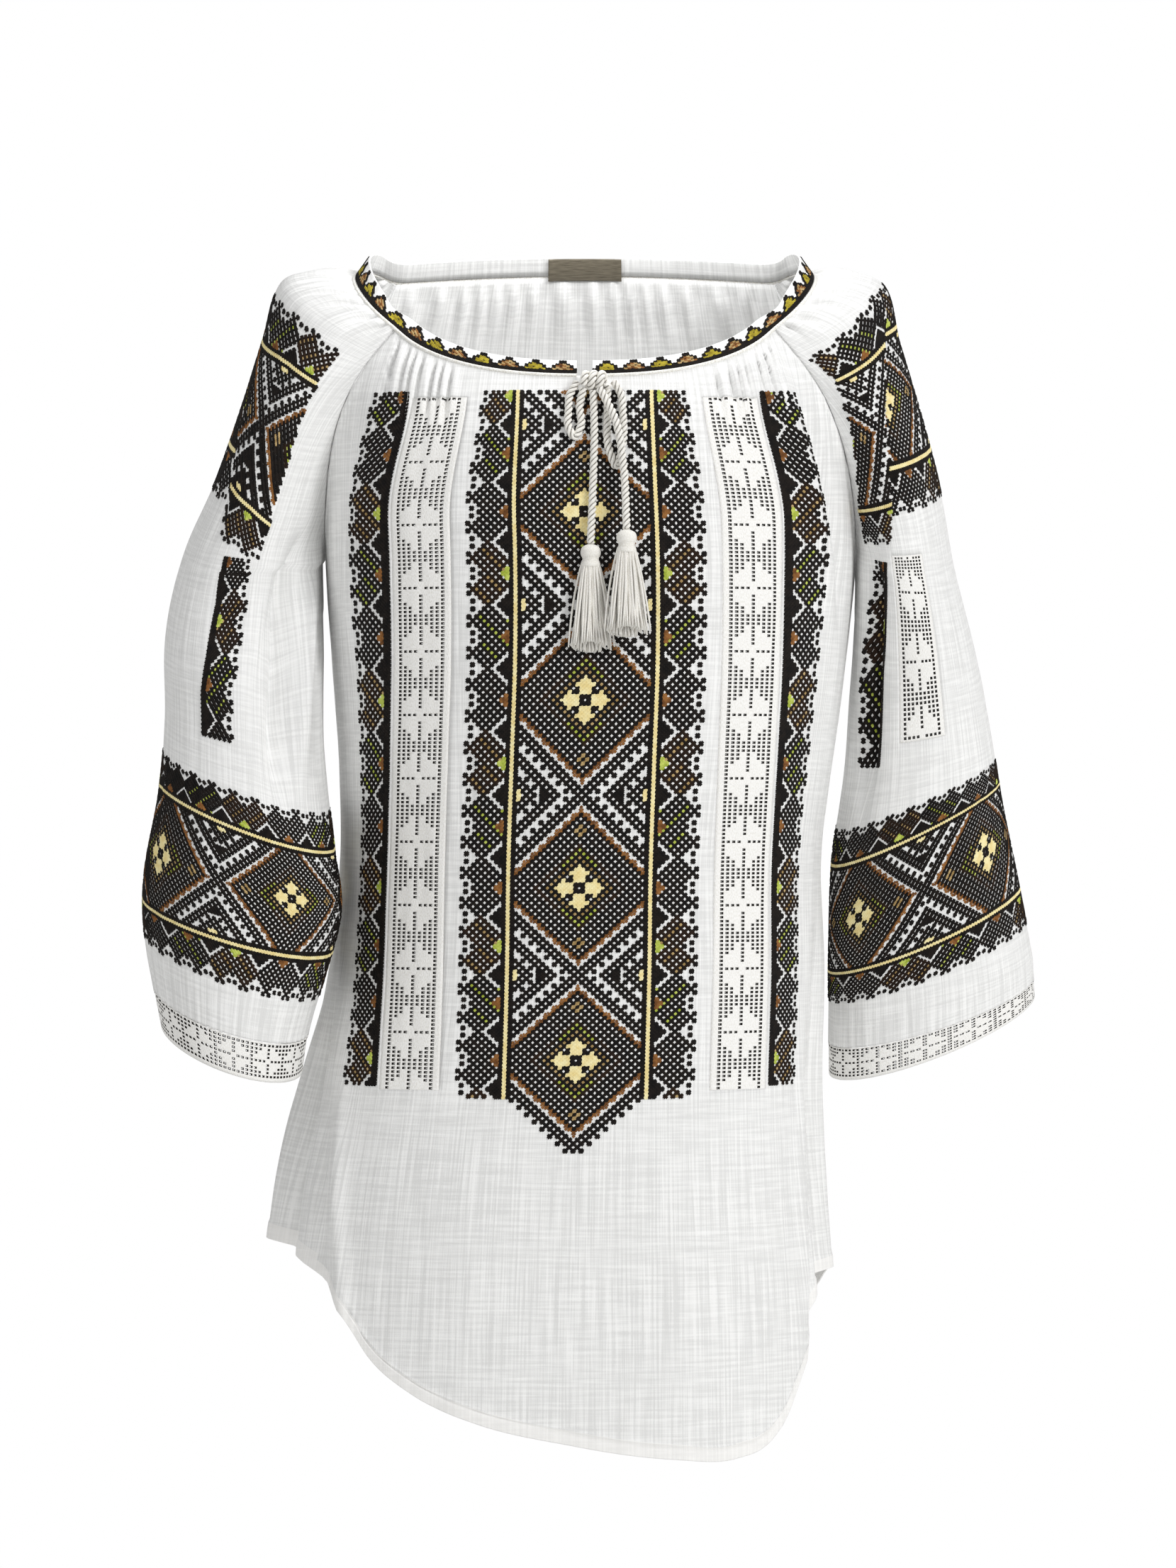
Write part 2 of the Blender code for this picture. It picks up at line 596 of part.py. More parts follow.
def body_wanted(half):
    """Points to fill a body panel with: dense in the gathers, then the folds, then a grid."""
    low, high = (-1.0, 1.0) if half == "front" else (1.0, 3.0)
    near_neck = []
    for start, end, count, _ in BODY_GATHERS:
        for below in (0.008, 0.020, 0.036):
            place = np.linspace(start, end, int(count) * 4 + 1)
            near_neck.append(np.stack([place, neck_down(place) + below], axis=1))
    in_folds = []
    for centre, width, _, drift, top, bottom in BODY_FOLDS:
        t = np.linspace(0, 1, int((bottom - top) / 0.03) + 2)
        for offset in (0.0, -0.85, 0.85):
            place = centre + drift * (t - 0.5) + offset * width
            in_folds.append(np.stack([place, top + (bottom - top) * t], axis=1))
    grid = np.meshgrid(np.arange(low, high, 0.1) + 0.05, np.arange(0.0, 0.74, 0.026))
    coarse = np.stack([grid[0].ravel(), grid[1].ravel()], axis=1)
    scale = np.array([ROUND, 1.0])
    return [
        (np.concatenate(near_neck) * scale, 0.0028),
        (np.concatenate(in_folds) * scale, 0.0090),
        (coarse * scale, 0.0150),
    ]


def body_piece(name, half):
    scale = np.array([ROUND, 1.0])
    holes = []
    if half == "front":
        holes = [lace_loop(side, -SEAM_GAP / 2) * scale for side in (-1, 1)]
    flat, faces = triangles(body_outline(half) * scale, holes, body_wanted(half))
    place = (flat[:, 0] / ROUND, flat[:, 1])
    return shell(name, body_point(*place), body_normal(*place), faces, CLOTH)


def lace_piece(name, side):
    scale = np.array([ROUND, 1.0])
    loop = lace_loop(side, SEAM_GAP / 2) * scale
    flat, faces = triangles(loop, [], [])
    place = (flat[:, 0] / ROUND, flat[:, 1])
    return shell(name, body_point(*place), body_normal(*place), faces, LACE)


TURN = 0.19 / 180  # metres in one degree, for spacing points on a sleeve


def sleeve_lace_loop(inset):
    first, last = SLEEVE_LACE_TURNS
    turns = np.linspace(first + inset / TURN, last - inset / TURN, 5)
    rows = np.linspace(SLEEVE_LACE_START + inset, SLEEVE_LACE_END - inset, 8)
    loop = [(turns[0], r) for r in rows] + [(t, rows[-1]) for t in turns[1:]]
    loop += [(turns[-1], r) for r in rows[-2::-1]] + [(t, rows[0]) for t in turns[-2:0:-1]]
    return np.array(loop) * np.array([TURN, 1.0])


def sleeve_piece(name, side):
    """A sleeve: open above the armpit between its seams, and closed along the underarm below."""
    cap = np.linspace(0.0, ARMPIT, 15)
    tube = np.linspace(ARMPIT, CUFF_START - SEAM_GAP, 15)[1:]
    spread = column(CAP_POINTS, CAP_COLUMNS, "spread", cap)
    neck = np.linspace(-spread[0], spread[0], 41)
    bottom = np.linspace(-180, 180, 33)[1:-1]
    loop = [(t, 0.0) for t in neck]
    loop += [(s, a) for s, a in zip(spread[1:], cap[1:])] + [(180.0, a) for a in tube]
    loop += [(t, tube[-1]) for t in bottom[::-1]]
    loop += [(-180.0, a) for a in tube[::-1]]
    loop += [(-s, a) for s, a in zip(spread[:0:-1], cap[:0:-1])]
    scale = np.array([TURN, 1.0])
    dense = []
    for below in (0.009, 0.022, 0.038):
        reach = float(column(CAP_POINTS, CAP_COLUMNS, "spread", below))
        place = np.linspace(-reach, reach, 41)[1:-1]
        dense.append(np.stack([place, np.full(39, below)], axis=1))
    creases = []
    for centre, width, _, drift, top, end in SLEEVE_LEFT_FOLDS if side > 0 else SLEEVE_RIGHT_FOLDS:
        t = np.linspace(0, 1, int((end - top) / 0.022) + 2)
        for offset in (0.0, -0.9, 0.9):
            place = centre + drift * (t - 0.5) + offset * width
            creases.append(np.stack([place, top + (end - top) * t], axis=1))
    grid = np.meshgrid(np.arange(-170, 171, 17.0), np.arange(0.055, 0.48, 0.022))
    coarse = np.stack([grid[0].ravel(), grid[1].ravel()], axis=1)
    wanted = [
        (np.concatenate(dense) * scale, 0.0026),
        (np.concatenate(creases) * scale, 0.0085),
        (coarse * scale, 0.0120),
    ]
    holes = [sleeve_lace_loop(-SEAM_GAP / 2)] if side > 0 else []
    flat, faces = triangles(np.array(loop) * scale, holes, wanted)
    place = (side, flat[:, 0] / TURN, flat[:, 1])
    return shell(name, sleeve_point(*place), sleeve_normal(*place), faces, CLOTH)


def sleeve_lace_piece(name):
    flat, faces = triangles(sleeve_lace_loop(SEAM_GAP / 2), [], [])
    place = (1, flat[:, 0] / TURN, flat[:, 1])
    return shell(name, sleeve_point(*place), sleeve_normal(*place), faces, LACE)


def grid_faces(rows, columns, closed):
    """Two triangles for each cell of a grid of rows by columns."""
    faces = []
    for r in range(rows - 1):
        for c in range(columns if closed else columns - 1):
            a, b = r * columns + c, r * columns + (c + 1) % columns
            faces += [(a, b, b + columns), (a, b + columns, a + columns)]
    return np.array(faces)


def cuff_piece(name, side):
    turns = np.linspace(-180, 180, 37)[:-1]
    rows = np.linspace(CUFF_START, CUFF_END, 4)
    turn, along = np.meshgrid(turns, rows)
    place = (side, turn.ravel(), along.ravel())
    return shell(name, sleeve_point(*place), sleeve_normal(*place), grid_faces(4, 36, True), LACE)


def neck_line(samples):
    """The neck seam as evenly spaced points, round from one end of the front slit to the other."""
    share = np.linspace(0, SEAM_POINTS[0][1], 40)
    front_left = body_plain(share, neck_down(share))
    turn = np.linspace(-88, 88, 40)
    over_left = sleeve_plain(1, SLEEVE_LEFT, turn, np.zeros(40))
    behind = np.linspace(2 - SEAM_POINTS[0][3], 2 + SEAM_POINTS[0][3], 60)
    back = body_plain(behind, neck_down(behind))
    over_right = sleeve_plain(-1, SLEEVE_RIGHT, turn[::-1], np.zeros(40))
    front_right = body_plain(-share[::-1], neck_down(-share[::-1]))
    path = np.concatenate([front_left, over_left, back, over_right, front_right])
    along = np.concatenate([[0], np.cumsum(np.linalg.norm(np.diff(path, axis=0), axis=1))])
    even = np.linspace(0, along[-1], 400)
    path = np.stack([np.interp(even, along, path[:, k]) for k in range(3)], axis=1)
    for _ in range(12):
        path[1:-1] = (path[:-2] + 2 * path[1:-1] + path[2:]) / 4
    first, last = BAND_SLIT, along[-1] - BAND_SLIT
    want = np.linspace(first, last, samples)
    return np.stack([np.interp(want, even, path[:, k]) for k in range(3)], axis=1)


def band_directions(path):
    """From the neck seam to the band's upper edge, inward and up and steeper behind, and out."""
    ahead = np.gradient(path, axis=0)
    inward = np.stack([-ahead[:, 1], ahead[:, 0], 0 * ahead[:, 0]], axis=1)
    inward /= np.linalg.norm(inward, axis=1, keepdims=True)
    steep = ease((path[:, 1] + 0.02) / 0.07)
    lie = 0.76 - 0.30 * steep
    rise = np.sqrt(1 - lie**2)
    across = inward * lie[:, None] + np.array([0, 0, 1.0]) * rise[:, None]
    out = np.cross(ahead, across)
    return across, out / np.linalg.norm(out, axis=1, keepdims=True)


def band_piece(name):
    path = neck_line(97)
    across, out = band_directions(path)
    heights = np.array([0.0, 0.5, 1.0]) * BAND_WIDTH + BAND_LIFT
    points = np.concatenate([path + across * h for h in heights])
    return shell(name, points, np.tile(out, (3, 1)), grid_faces(3, 97, False), BAND_WALL)


def label_piece(name):
    """A plain label against the inside of the back of the band, hanging just below it."""
    path = neck_line(97)
    across, out = band_directions(path)
    middle = 48
    width = np.linalg.norm(np.diff(path, axis=0), axis=1)[middle]
    steps = np.linspace(-LABEL_WIDTH / 2, LABEL_WIDTH / 2, 9) / width + middle
    index = np.arange(len(path))
    rows = []
    for height in np.linspace(BAND_WIDTH + BAND_LIFT - 0.0006, BAND_WIDTH - LABEL_HEIGHT, 4)[::-1]:
        place = path + across * height - out * (BAND_WALL + 0.0007)
        rows.append(np.stack([np.interp(steps, index, place[:, k]) for k in range(3)], axis=1))
    normals = np.stack([np.interp(steps, index, out[:, k]) for k in range(3)], axis=1)
    points = np.concatenate(rows)
    return shell(name, points, np.tile(normals, (4, 1)), grid_faces(4, 9, False), LABEL_WALL)


def front_of(x, down, out):
    """A place in front of the cloth, by distance across, depth, and distance out from it."""
    x, down, out = (np.asarray(v, float) for v in (x, down, out))
    point = body_plain(share_at(x, down), down)
    return np.stack([x, point[..., 1] - out, -down], axis=-1)


def onto_knot(point):
    """The nearest place a hair above the knot's surface, on the line to its middle."""
    centre = front_of(*KNOT)
    unit = (point - centre) / np.array([KNOT_SIZE[0], KNOT_SIZE[2], KNOT_SIZE[1]])
    reach = np.linalg.norm(unit)
    surface = centre + (point - centre) / reach
    away = (point - centre) / np.linalg.norm(point - centre)
    return surface + away * CORD_GAP


def smooth_path(table, samples, tied_end=False):
    """Curve through the rows of a cord table, in front of the cloth, from the knot."""
    x, down, out = np.array(table, float).T
    rows = front_of(x, down, out)
    rows[0] = onto_knot(rows[0])
    if tied_end:
        rows[-1] = onto_knot(rows[-1])
    key = np.concatenate([[0], np.cumsum(np.linalg.norm(np.diff(rows, axis=0), axis=1))])
    at = np.linspace(0, key[-1], samples)
    return np.stack([through(key, rows[:, k], at) for k in range(3)], axis=1)


def tube(name, path, radius):
    """A round bar along a path: a curve with a bevel, thinner at its first and last points."""
    curve = bpy.data.curves.new(name, "CURVE")
    curve.dimensions = "3D"
    curve.bevel_depth = radius
    curve.bevel_resolution = 2
    curve.use_fill_caps = True
    spline = curve.splines.new("POLY")
    spline.points.add(len(path) - 1)
    for point, place in zip(spline.points, path):
        point.co = (place[0], place[1], place[2], 1.0)
    spline.points[0].radius = 0.35
    spline.points[-1].radius = 0.35
    thing = bpy.data.objects.new(name, curve)
    bpy.context.collection.objects.link(thing)
    return thing


def knot_piece(name):
    """The tied knot: a soft oval lump with the shallow grooves of the cord's turns."""
    centre = front_of(*KNOT)
    columns, rows = 16, 9
    points = []
    for r in range(1, rows):
        polar = math.pi * r / rows
        for c in range(columns):
            angle = 2 * math.pi * c / columns
            groove = 1 - 0.10 * max(0.0, math.cos(2 * angle + 2.2 * math.cos(polar))) ** 3
            size = np.array([KNOT_SIZE[0], KNOT_SIZE[2], KNOT_SIZE[1]]) * groove
            unit = [math.cos(polar), math.sin(polar) * math.sin(angle), math.sin(polar) * math.cos(angle)]
            points.append(centre + size * unit)
    faces = [tuple(f) for f in grid_faces(rows - 1, columns, True)]
    points.append(centre + [KNOT_SIZE[0], 0, 0])
    points.append(centre - [KNOT_SIZE[0], 0, 0])
    first, last = len(points) - 2, len(points) - 1
    low = (rows - 2) * columns
    for c in range(columns):
        d = (c + 1) % columns
        faces += [(first, d, c), (last, low + c, low + d)]
    return make(name, points, faces)


def tassel_piece(name, place):
    """A wrapped head, and loose strands that grow from its underside and fan out.

    A strand's root is a small triangle of the underside, and the strand is swept down from it, so
    the whole tassel is one closed solid.
    """
    x, down, out, tip = place
    top = front_of(x, down, out)
    lean = front_of(x, tip, out)[1] - top[1]
    sides = 20
    profile = [(0.0, 0.30), (0.0012, 0.66), (0.0035, 0.98), (0.0060, 1.00), (0.0080, 0.84)]
    profile += [(0.0092, 0.82), (0.0104, 0.90), (TASSEL_HEAD_LENGTH, 0.98)]
    angle = np.arange(sides) * 2 * math.pi / sides
    circle = np.stack([np.cos(angle), np.sin(angle)], axis=1)
    points = []
    for depth, width in profile:
        flat = circle * width * TASSEL_HEAD
        points += [top + np.array([a, b * 0.9, -depth]) for a, b in flat]
    faces = [tuple(f) for f in grid_faces(len(profile), sides, True)]
    faces += [(0, k + 1, k) for k in range(1, sides - 1)]
    under = (len(profile) - 1) * sides
    roots = []
    for ring, count in enumerate(STRAND_RINGS):
        for k in range(count):
            turn = 2 * math.pi * (k + 0.35 * ring) / count
            reach = ring * TASSEL_HEAD * 0.275
            roots.append((reach * math.cos(turn), reach * math.sin(turn), turn))
    rim = circle * profile[-1][1] * TASSEL_HEAD
    flat = [tuple(p) for p in rim]
    loops = []
    for a, b, turn in roots:
        start = len(flat)
        for k in range(3):
            t = turn + 2 * math.pi * k / 3
            flat.append((a + STRAND * math.cos(t), b + STRAND * math.sin(t)))
        loops.append([start, start + 1, start + 2])
    edges = [(k, (k + 1) % sides) for k in range(sides)]
    for loop in loops:
        edges += [(loop[k], loop[(k + 1) % 3]) for k in range(3)]
    found = delaunay_2d_cdt([Vector(p) * 1000 for p in flat], edges, [], 0, 1e-6)
    match = [came_from[0] for came_from in found[3]]
    number = {}
    for k in range(sides):
        number[k] = under + k
    for loop in loops:
        for k in loop:
            number[k] = len(points)
            points.append(top + np.array([flat[k][0], flat[k][1] * 0.9, -TASSEL_HEAD_LENGTH]))
    hollow = {tuple(sorted(loop)) for loop in loops}
    for face in found[2]:
        face = [match[i] for i in face]
        if tuple(sorted(face)) not in hollow:
            a, b, c = (np.array(flat[i]) for i in face)
            turned = np.cross(b - a, c - a) < 0
            face = face[::-1] if turned else face
            faces.append(tuple(number[i] for i in face))
    length = tip - down - TASSEL_HEAD_LENGTH
    for index, ((a, b, turn), loop) in enumerate(zip(roots, loops)):
        reach = math.hypot(a, b) / (TASSEL_HEAD * 0.825)
        end_x = a + (TASSEL_SPREAD - TASSEL_HEAD) * reach * math.cos(turn)
        end_y = b * 0.9 + (TASSEL_THICKNESS - TASSEL_HEAD * 0.8) * reach * math.sin(turn)
        own = length * (0.93 + 0.07 * math.sin(index * 2.4))
        previous = [number[k] for k in loop]
        for step in range(1, 5):
            t = step / 4
            sway = 0.0006 * math.sin(index * 1.7) * math.sin(math.pi * t)
            middle = np.array([
                a + (end_x - a) * t ** 0.8 + sway,
                b * 0.9 + (end_y - b * 0.9 + lean) * t,
                -TASSEL_HEAD_LENGTH - own * t,
            ])
            size = STRAND * (1.0 if step < 4 else 0.55)
            ring = []
            for k in range(3):
                angle_k = turn + 2 * math.pi * k / 3
                ring.append(len(points))
                points.append(top + middle + [size * math.cos(angle_k), size * math.sin(angle_k), 0])
            for k in range(3):
                m = (k + 1) % 3
                faces += [(previous[k], ring[m], ring[k]), (previous[k], previous[m], ring[m])]
            previous = ring
        faces.append(tuple(previous))
    return make(name, points, faces)


def tidy_faces(thing):
    """Turn a closed mesh's faces outward by the sign of its volume."""
    if thing.type != "MESH":
        return
    mesh = thing.data
    place = np.array([tuple(v.co) for v in mesh.vertices])
    corners = np.array([tuple(p.vertices) for p in mesh.polygons])
    a, b, c = (place[corners[:, k]] for k in range(3))
    if np.sum(np.einsum("ij,ij->i", a, np.cross(b, c))) < 0:
        mesh.flip_normals()


for old in list(bpy.data.objects):
    bpy.data.objects.remove(old)

PIECES = [
    body_piece("front_panel", "front"),
    body_piece("back_panel", "back"),
    sleeve_piece("sleeve_right", -1),
    sleeve_piece("sleeve_left", 1),
    lace_piece("lace_front_right", -1),
    lace_piece("lace_front_left", 1),
    sleeve_lace_piece("lace_sleeve_left"),
    cuff_piece("cuff_right", -1),
    cuff_piece("cuff_left", 1),
    band_piece("neckband"),
    label_piece("label"),
    knot_piece("cord_knot"),
    tube("cord_tail_right", smooth_path(TAIL_RIGHT, 16), CORD / 2),
    tube("cord_tail_left", smooth_path(TAIL_LEFT, 16), CORD / 2),
    tube("cord_loop_right", smooth_path(LOOP_RIGHT, 20, True), CORD / 2),
    tube("cord_loop_left", smooth_path(LOOP_LEFT, 24, True), CORD / 2),
    tassel_piece("tassel_right", TASSEL_RIGHT),
    tassel_piece("tassel_left", TASSEL_LEFT),
]
for piece in PIECES:
    tidy_faces(piece)
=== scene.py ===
"""Folk blouse of thin white cotton with cross-stitch and drawn-thread lace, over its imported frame.

Axes: +X is the wearer's left, -Y is the front, +Z is up. The origin is midway between the
shoulders. "Down" is the depth below it. A "share" is the part of the way round the body from the
front centre line to a side: 1 is the wearer's left side, 2 the back's centre line, -1 the right
side. A sleeve's "turn" is 0 on its outer line, -90 in front and 180 at the underarm, in degrees,
and "along" runs from the neck to the cuff. Sizes are in metres.
"""

import math
from functools import partial

import bpy
import numpy as np
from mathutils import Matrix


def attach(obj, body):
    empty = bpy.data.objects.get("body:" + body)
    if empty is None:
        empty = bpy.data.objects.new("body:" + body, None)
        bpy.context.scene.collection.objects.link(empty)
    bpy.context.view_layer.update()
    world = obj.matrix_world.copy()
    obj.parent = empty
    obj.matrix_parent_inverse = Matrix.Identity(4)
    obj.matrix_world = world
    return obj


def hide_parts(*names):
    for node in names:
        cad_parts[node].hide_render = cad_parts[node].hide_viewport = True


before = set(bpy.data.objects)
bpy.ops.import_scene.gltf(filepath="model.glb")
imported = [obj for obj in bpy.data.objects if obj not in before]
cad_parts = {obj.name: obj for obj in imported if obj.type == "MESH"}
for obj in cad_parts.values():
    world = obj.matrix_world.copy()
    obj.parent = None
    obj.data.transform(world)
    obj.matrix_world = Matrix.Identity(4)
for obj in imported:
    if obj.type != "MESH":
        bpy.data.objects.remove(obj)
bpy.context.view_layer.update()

# Camera. A long lens four metres in front of the blouse and level with its middle, so that the
# near and far sides of the cloth keep nearly the same scale, as they do in the photograph.
camera_data = bpy.data.cameras.new("camera")
camera_data.lens = 148.0
camera_data.sensor_width = 36.0
camera = bpy.data.objects.new("camera", camera_data)
camera.location = (0.002, -4.0, -0.315)
camera.rotation_euler = (math.radians(90), 0.0, 0.0)
bpy.context.collection.objects.link(camera)
bpy.context.scene.camera = camera


# Front panel. One width of loosely woven cotton, gathered into the neck band on both sides of the
# centre, left open for two strips of lace, and ended by a narrow turned hem like a shirt tail's.
CLOTH = 0.0010  # thickness
SECTION_POWER = 2.3  # how square the body's sections are; 2 would be an ellipse
NECK_DROP = 0.067  # depth of the neck seam at the centre front
NECK_EASE = 0.06  # how much the gathers draw distances in at the neck, near the centre
SIDE_EASE = 0.085  # and how much more they do from EASE_FROM outwards
EASE_FROM = 0.045
EASE_WIDTH = 0.030
EASE_REACH = 0.09
GATHER_REACH = 0.055  # how far the gathers run down
HEM_TURN = 0.0090  # how deep the hem is turned up
HEM_STAND = 0.00080  # how far it stands out
SEAM_HALF = 0.0040  # half the width of a felled seam
SEAM_STAND = 0.00070
SEAM_GROOVE = 0.00100  # depth of the groove along its middle
CLOTH_ROUND = 0.23  # metres of cloth in a share, for the weave and the ripples
LACE_NEAR = 0.0830  # distances round the front from its centre line
LACE_FAR = 0.1240
LACE_TOP = 0.0800  # depths
LACE_END = 0.5000

BODY_COLUMNS = ("down", "middle", "right", "left", "front", "back")
BODY_SECTIONS = [
    (-0.014, 0.000, 0.147, 0.147, 0.046, 0.056),
    (0.010, 0.000, 0.150, 0.150, 0.052, 0.064),
    (0.036, 0.000, 0.155, 0.155, 0.066, 0.075),
    (0.064, 0.000, 0.160, 0.161, 0.084, 0.084),
    (0.100, 0.000, 0.162, 0.165, 0.099, 0.092),
    (0.140, 0.000, 0.161, 0.167, 0.109, 0.098),
    (0.178, 0.001, 0.161, 0.166, 0.116, 0.101),
    (0.240, 0.001, 0.157, 0.160, 0.121, 0.100),
    (0.300, -0.001, 0.151, 0.154, 0.120, 0.096),
    (0.360, -0.003, 0.148, 0.148, 0.117, 0.095),
    (0.430, -0.004, 0.154, 0.149, 0.117, 0.099),
    (0.505, -0.006, 0.168, 0.150, 0.120, 0.107),
    (0.570, -0.008, 0.180, 0.155, 0.125, 0.115),
    (0.620, -0.009, 0.185, 0.160, 0.128, 0.120),
    (0.760, -0.010, 0.190, 0.164, 0.131, 0.126),
]

# The slanting seams between body and sleeves, by share and depth in front and behind.
SEAM_COLUMNS = ("along", "front_share", "front_down", "back_share", "back_down")
SEAM_POINTS = [
    (0.00, 0.640, 0.0360, 0.690, 0.0020),
    (0.20, 0.700, 0.0560, 0.730, 0.0300),
    (0.40, 0.765, 0.0800, 0.775, 0.0620),
    (0.60, 0.835, 0.1110, 0.835, 0.1000),
    (0.80, 0.915, 0.1460, 0.910, 0.1400),
    (1.00, 1.000, 0.1780, 1.000, 0.1780),
]

# The hem of front and back, by share and depth: the shirt tail dips lower towards the left.
HEM_POINTS = [
    (-2.00, 0.722),
    (-1.80, 0.710),
    (-1.60, 0.682),
    (-1.40, 0.634),
    (-1.20, 0.605),
    (-1.00, 0.594),
    (-0.80, 0.600),
    (-0.66, 0.612),
    (-0.57, 0.632),
    (-0.48, 0.662),
    (-0.38, 0.681),
    (-0.22, 0.699),
    (0.00, 0.712),
    (0.26, 0.721),
    (0.44, 0.722),
    (0.54, 0.714),
    (0.62, 0.694),
    (0.70, 0.656),
    (0.80, 0.627),
    (1.00, 0.614),
    (1.20, 0.631),
    (1.40, 0.668),
    (1.60, 0.702),
    (1.80, 0.716),
    (2.00, 0.722),
]

# Soft folds: their middle, width, depth and drift, and the depths where they start and end.
BODY_FOLDS = [
    (-0.815, 0.040, -0.0150, 0.06, 0.400, 0.780),
    (-0.890, 0.040, 0.0080, 0.08, 0.420, 0.760),
    (-0.590, 0.024, 0.0050, 0.20, 0.460, 0.730),
    (-0.650, 0.028, -0.0060, 0.20, 0.460, 0.730),
    (0.705, 0.022, 0.0045, -0.10, 0.460, 0.720),
    (0.765, 0.028, -0.0065, -0.10, 0.460, 0.720),
    (-0.700, 0.060, 0.0020, 0.04, 0.450, 0.760),
    (0.860, 0.034, -0.0150, -0.03, 0.380, 0.780),
    (0.950, 0.050, 0.0040, -0.02, 0.300, 0.720),
    (0.735, 0.026, -0.0080, 0.20, 0.034, 0.240),
    (0.665, 0.036, 0.0045, 0.18, 0.034, 0.230),
    (-0.690, 0.045, 0.0018, -0.12, 0.060, 0.260),
    (0.300, 0.110, 0.0025, 0.02, 0.520, 0.800),
    (-0.250, 0.130, 0.0025, -0.03, 0.520, 0.800),
    (1.290, 0.055, -0.0105, 0.00, 0.120, 0.740),
    (1.470, 0.060, 0.0080, 0.04, 0.260, 0.800),
    (1.700, 0.050, -0.0100, -0.05, 0.150, 0.830),
    (1.940, 0.060, 0.0080, 0.02, 0.300, 0.830),
    (2.190, 0.055, -0.0105, 0.06, 0.180, 0.830),
    (2.430, 0.060, 0.0080, -0.05, 0.280, 0.800),
    (2.680, 0.050, -0.0100, 0.03, 0.130, 0.740),
]

# Gathers under the neck band: from share to share, how many, and how deep.
BODY_GATHERS = [
    (-0.640, -0.370, 8, 0.0040),
    (0.370, 0.640, 8, 0.0040),
    (1.310, 2.690, 18, 0.0032),
]

# Ripples of unironed gauze: depth, wavelengths across and down, and phase.
RIPPLES = [
    (0.00022, 0.031, 0.190, 0.4),
    (0.00018, 0.019, 0.120, 2.1),
    (0.00014, 0.012, 0.083, 4.0),
    (0.00012, 0.047, 0.052, 1.2),
]


def through(knots, values, at):
    """Smooth curve through a table: cubic pieces, sloped at a knot as its neighbours are."""
    knots = np.asarray(knots, float)
    values = np.asarray(values, float)
    at = np.clip(np.asarray(at, float), knots[0], knots[-1])
    slopes = np.gradient(values, knots)
    i = np.clip(np.searchsorted(knots, at, side="right") - 1, 0, len(knots) - 2)
    step = knots[i + 1] - knots[i]
    t = (at - knots[i]) / step
    first = values[i] * (1 + 2 * t) * (1 - t) ** 2 + slopes[i] * step * t * (1 - t) ** 2
    second = values[i + 1] * t * t * (3 - 2 * t) + slopes[i + 1] * step * t * t * (t - 1)
    return first + second


def column(table, names, name, at):
    """The named column of a table, read at values of its first column."""
    rows = np.array(table, float)
    return through(rows[:, 0], rows[:, names.index(name)], at)


def ease(t):
    """Smooth step from 0 at t = 0 to 1 at t = 1: three squares less two cubes."""
    t = np.clip(t, 0, 1)
    return t * t * (3 - 2 * t)


def distances(path):
    """Distance along a path at each of its points: the running sum of its steps."""
    steps = np.linalg.norm(np.diff(path, axis=0), axis=1)
    return np.concatenate([[0], np.cumsum(steps)])


def read_path(at, marks, path):
    """Points of a path whose own points lie at the marks, straight between them."""
    return np.stack([np.interp(at, marks, values) for values in path.T], axis=-1)


def quadrant(half_width, depth, samples):
    """A quarter of a squarish oval, evenly spaced: powers of sine and cosine below 1."""
    angle = np.linspace(0, math.pi / 2, 400)
    x = half_width * np.sin(angle) ** (2 / SECTION_POWER)
    y = depth * np.cos(angle) ** (2 / SECTION_POWER)
    path = np.stack([x, y], axis=1)
    along = distances(path)
    even = read_path(np.linspace(0, along[-1], samples), along, path)
    return even[:, 0], even[:, 1], along[-1]


LEVELS = np.linspace(BODY_SECTIONS[0][0], BODY_SECTIONS[-1][0], 156)
QUARTER = 60


def body_table():
    """Points of the body by level and by share, and the length of its two front quarters."""
    size = {name: column(BODY_SECTIONS, BODY_COLUMNS, name, LEVELS) for name in BODY_COLUMNS}
    points = np.zeros((len(LEVELS), 4 * QUARTER + 1, 3))
    quarters = np.zeros((len(LEVELS), 2))
    for k in range(len(LEVELS)):
        for half, side in enumerate((-1, 1)):
            width = size["right" if side < 0 else "left"][k]
            front_x, front_y, quarters[k, half] = quadrant(width, size["front"][k], QUARTER + 1)
            back_x, back_y, _ = quadrant(width, size["back"][k], QUARTER + 1)
            x = size["middle"][k] + side * np.concatenate([front_x, back_x[-2::-1]])
            y = np.concatenate([-front_y, back_y[-2::-1]])
            row = np.stack([x, y, np.full(len(x), -LEVELS[k])], axis=1)
            if side > 0:
                points[k, 2 * QUARTER:] = row
            else:
                points[k, : 2 * QUARTER + 1] = row[::-1]
    return points, quarters


BODY, QUARTERS = body_table()


def same_shape(*values):
    """Arrays of one shape from numbers and arrays."""
    return np.broadcast_arrays(*(np.asarray(value, float) for value in values))


def from_front(share):
    """A share brought to between -2 and 2, as counted from the front centre line."""
    return (np.asarray(share, float) + 2) % 4 - 2


def body_plain(share, down):
    """Point of the body before its folds, straight between the points of the table."""
    share, down = same_shape(from_front(share), down)
    level = np.clip((down - LEVELS[0]) / (LEVELS[1] - LEVELS[0]), 0, len(LEVELS) - 1.001)
    place = (share + 2) * QUARTER
    i = np.floor(level).astype(int)
    j = np.clip(np.floor(place).astype(int), 0, 4 * QUARTER - 1)
    s = (level - i)[..., None]
    t = (place - j)[..., None]
    upper = BODY[i, j] * (1 - t) + BODY[i, j + 1] * t
    lower = BODY[i + 1, j] * (1 - t) + BODY[i + 1, j + 1] * t
    return upper * (1 - s) + lower * s


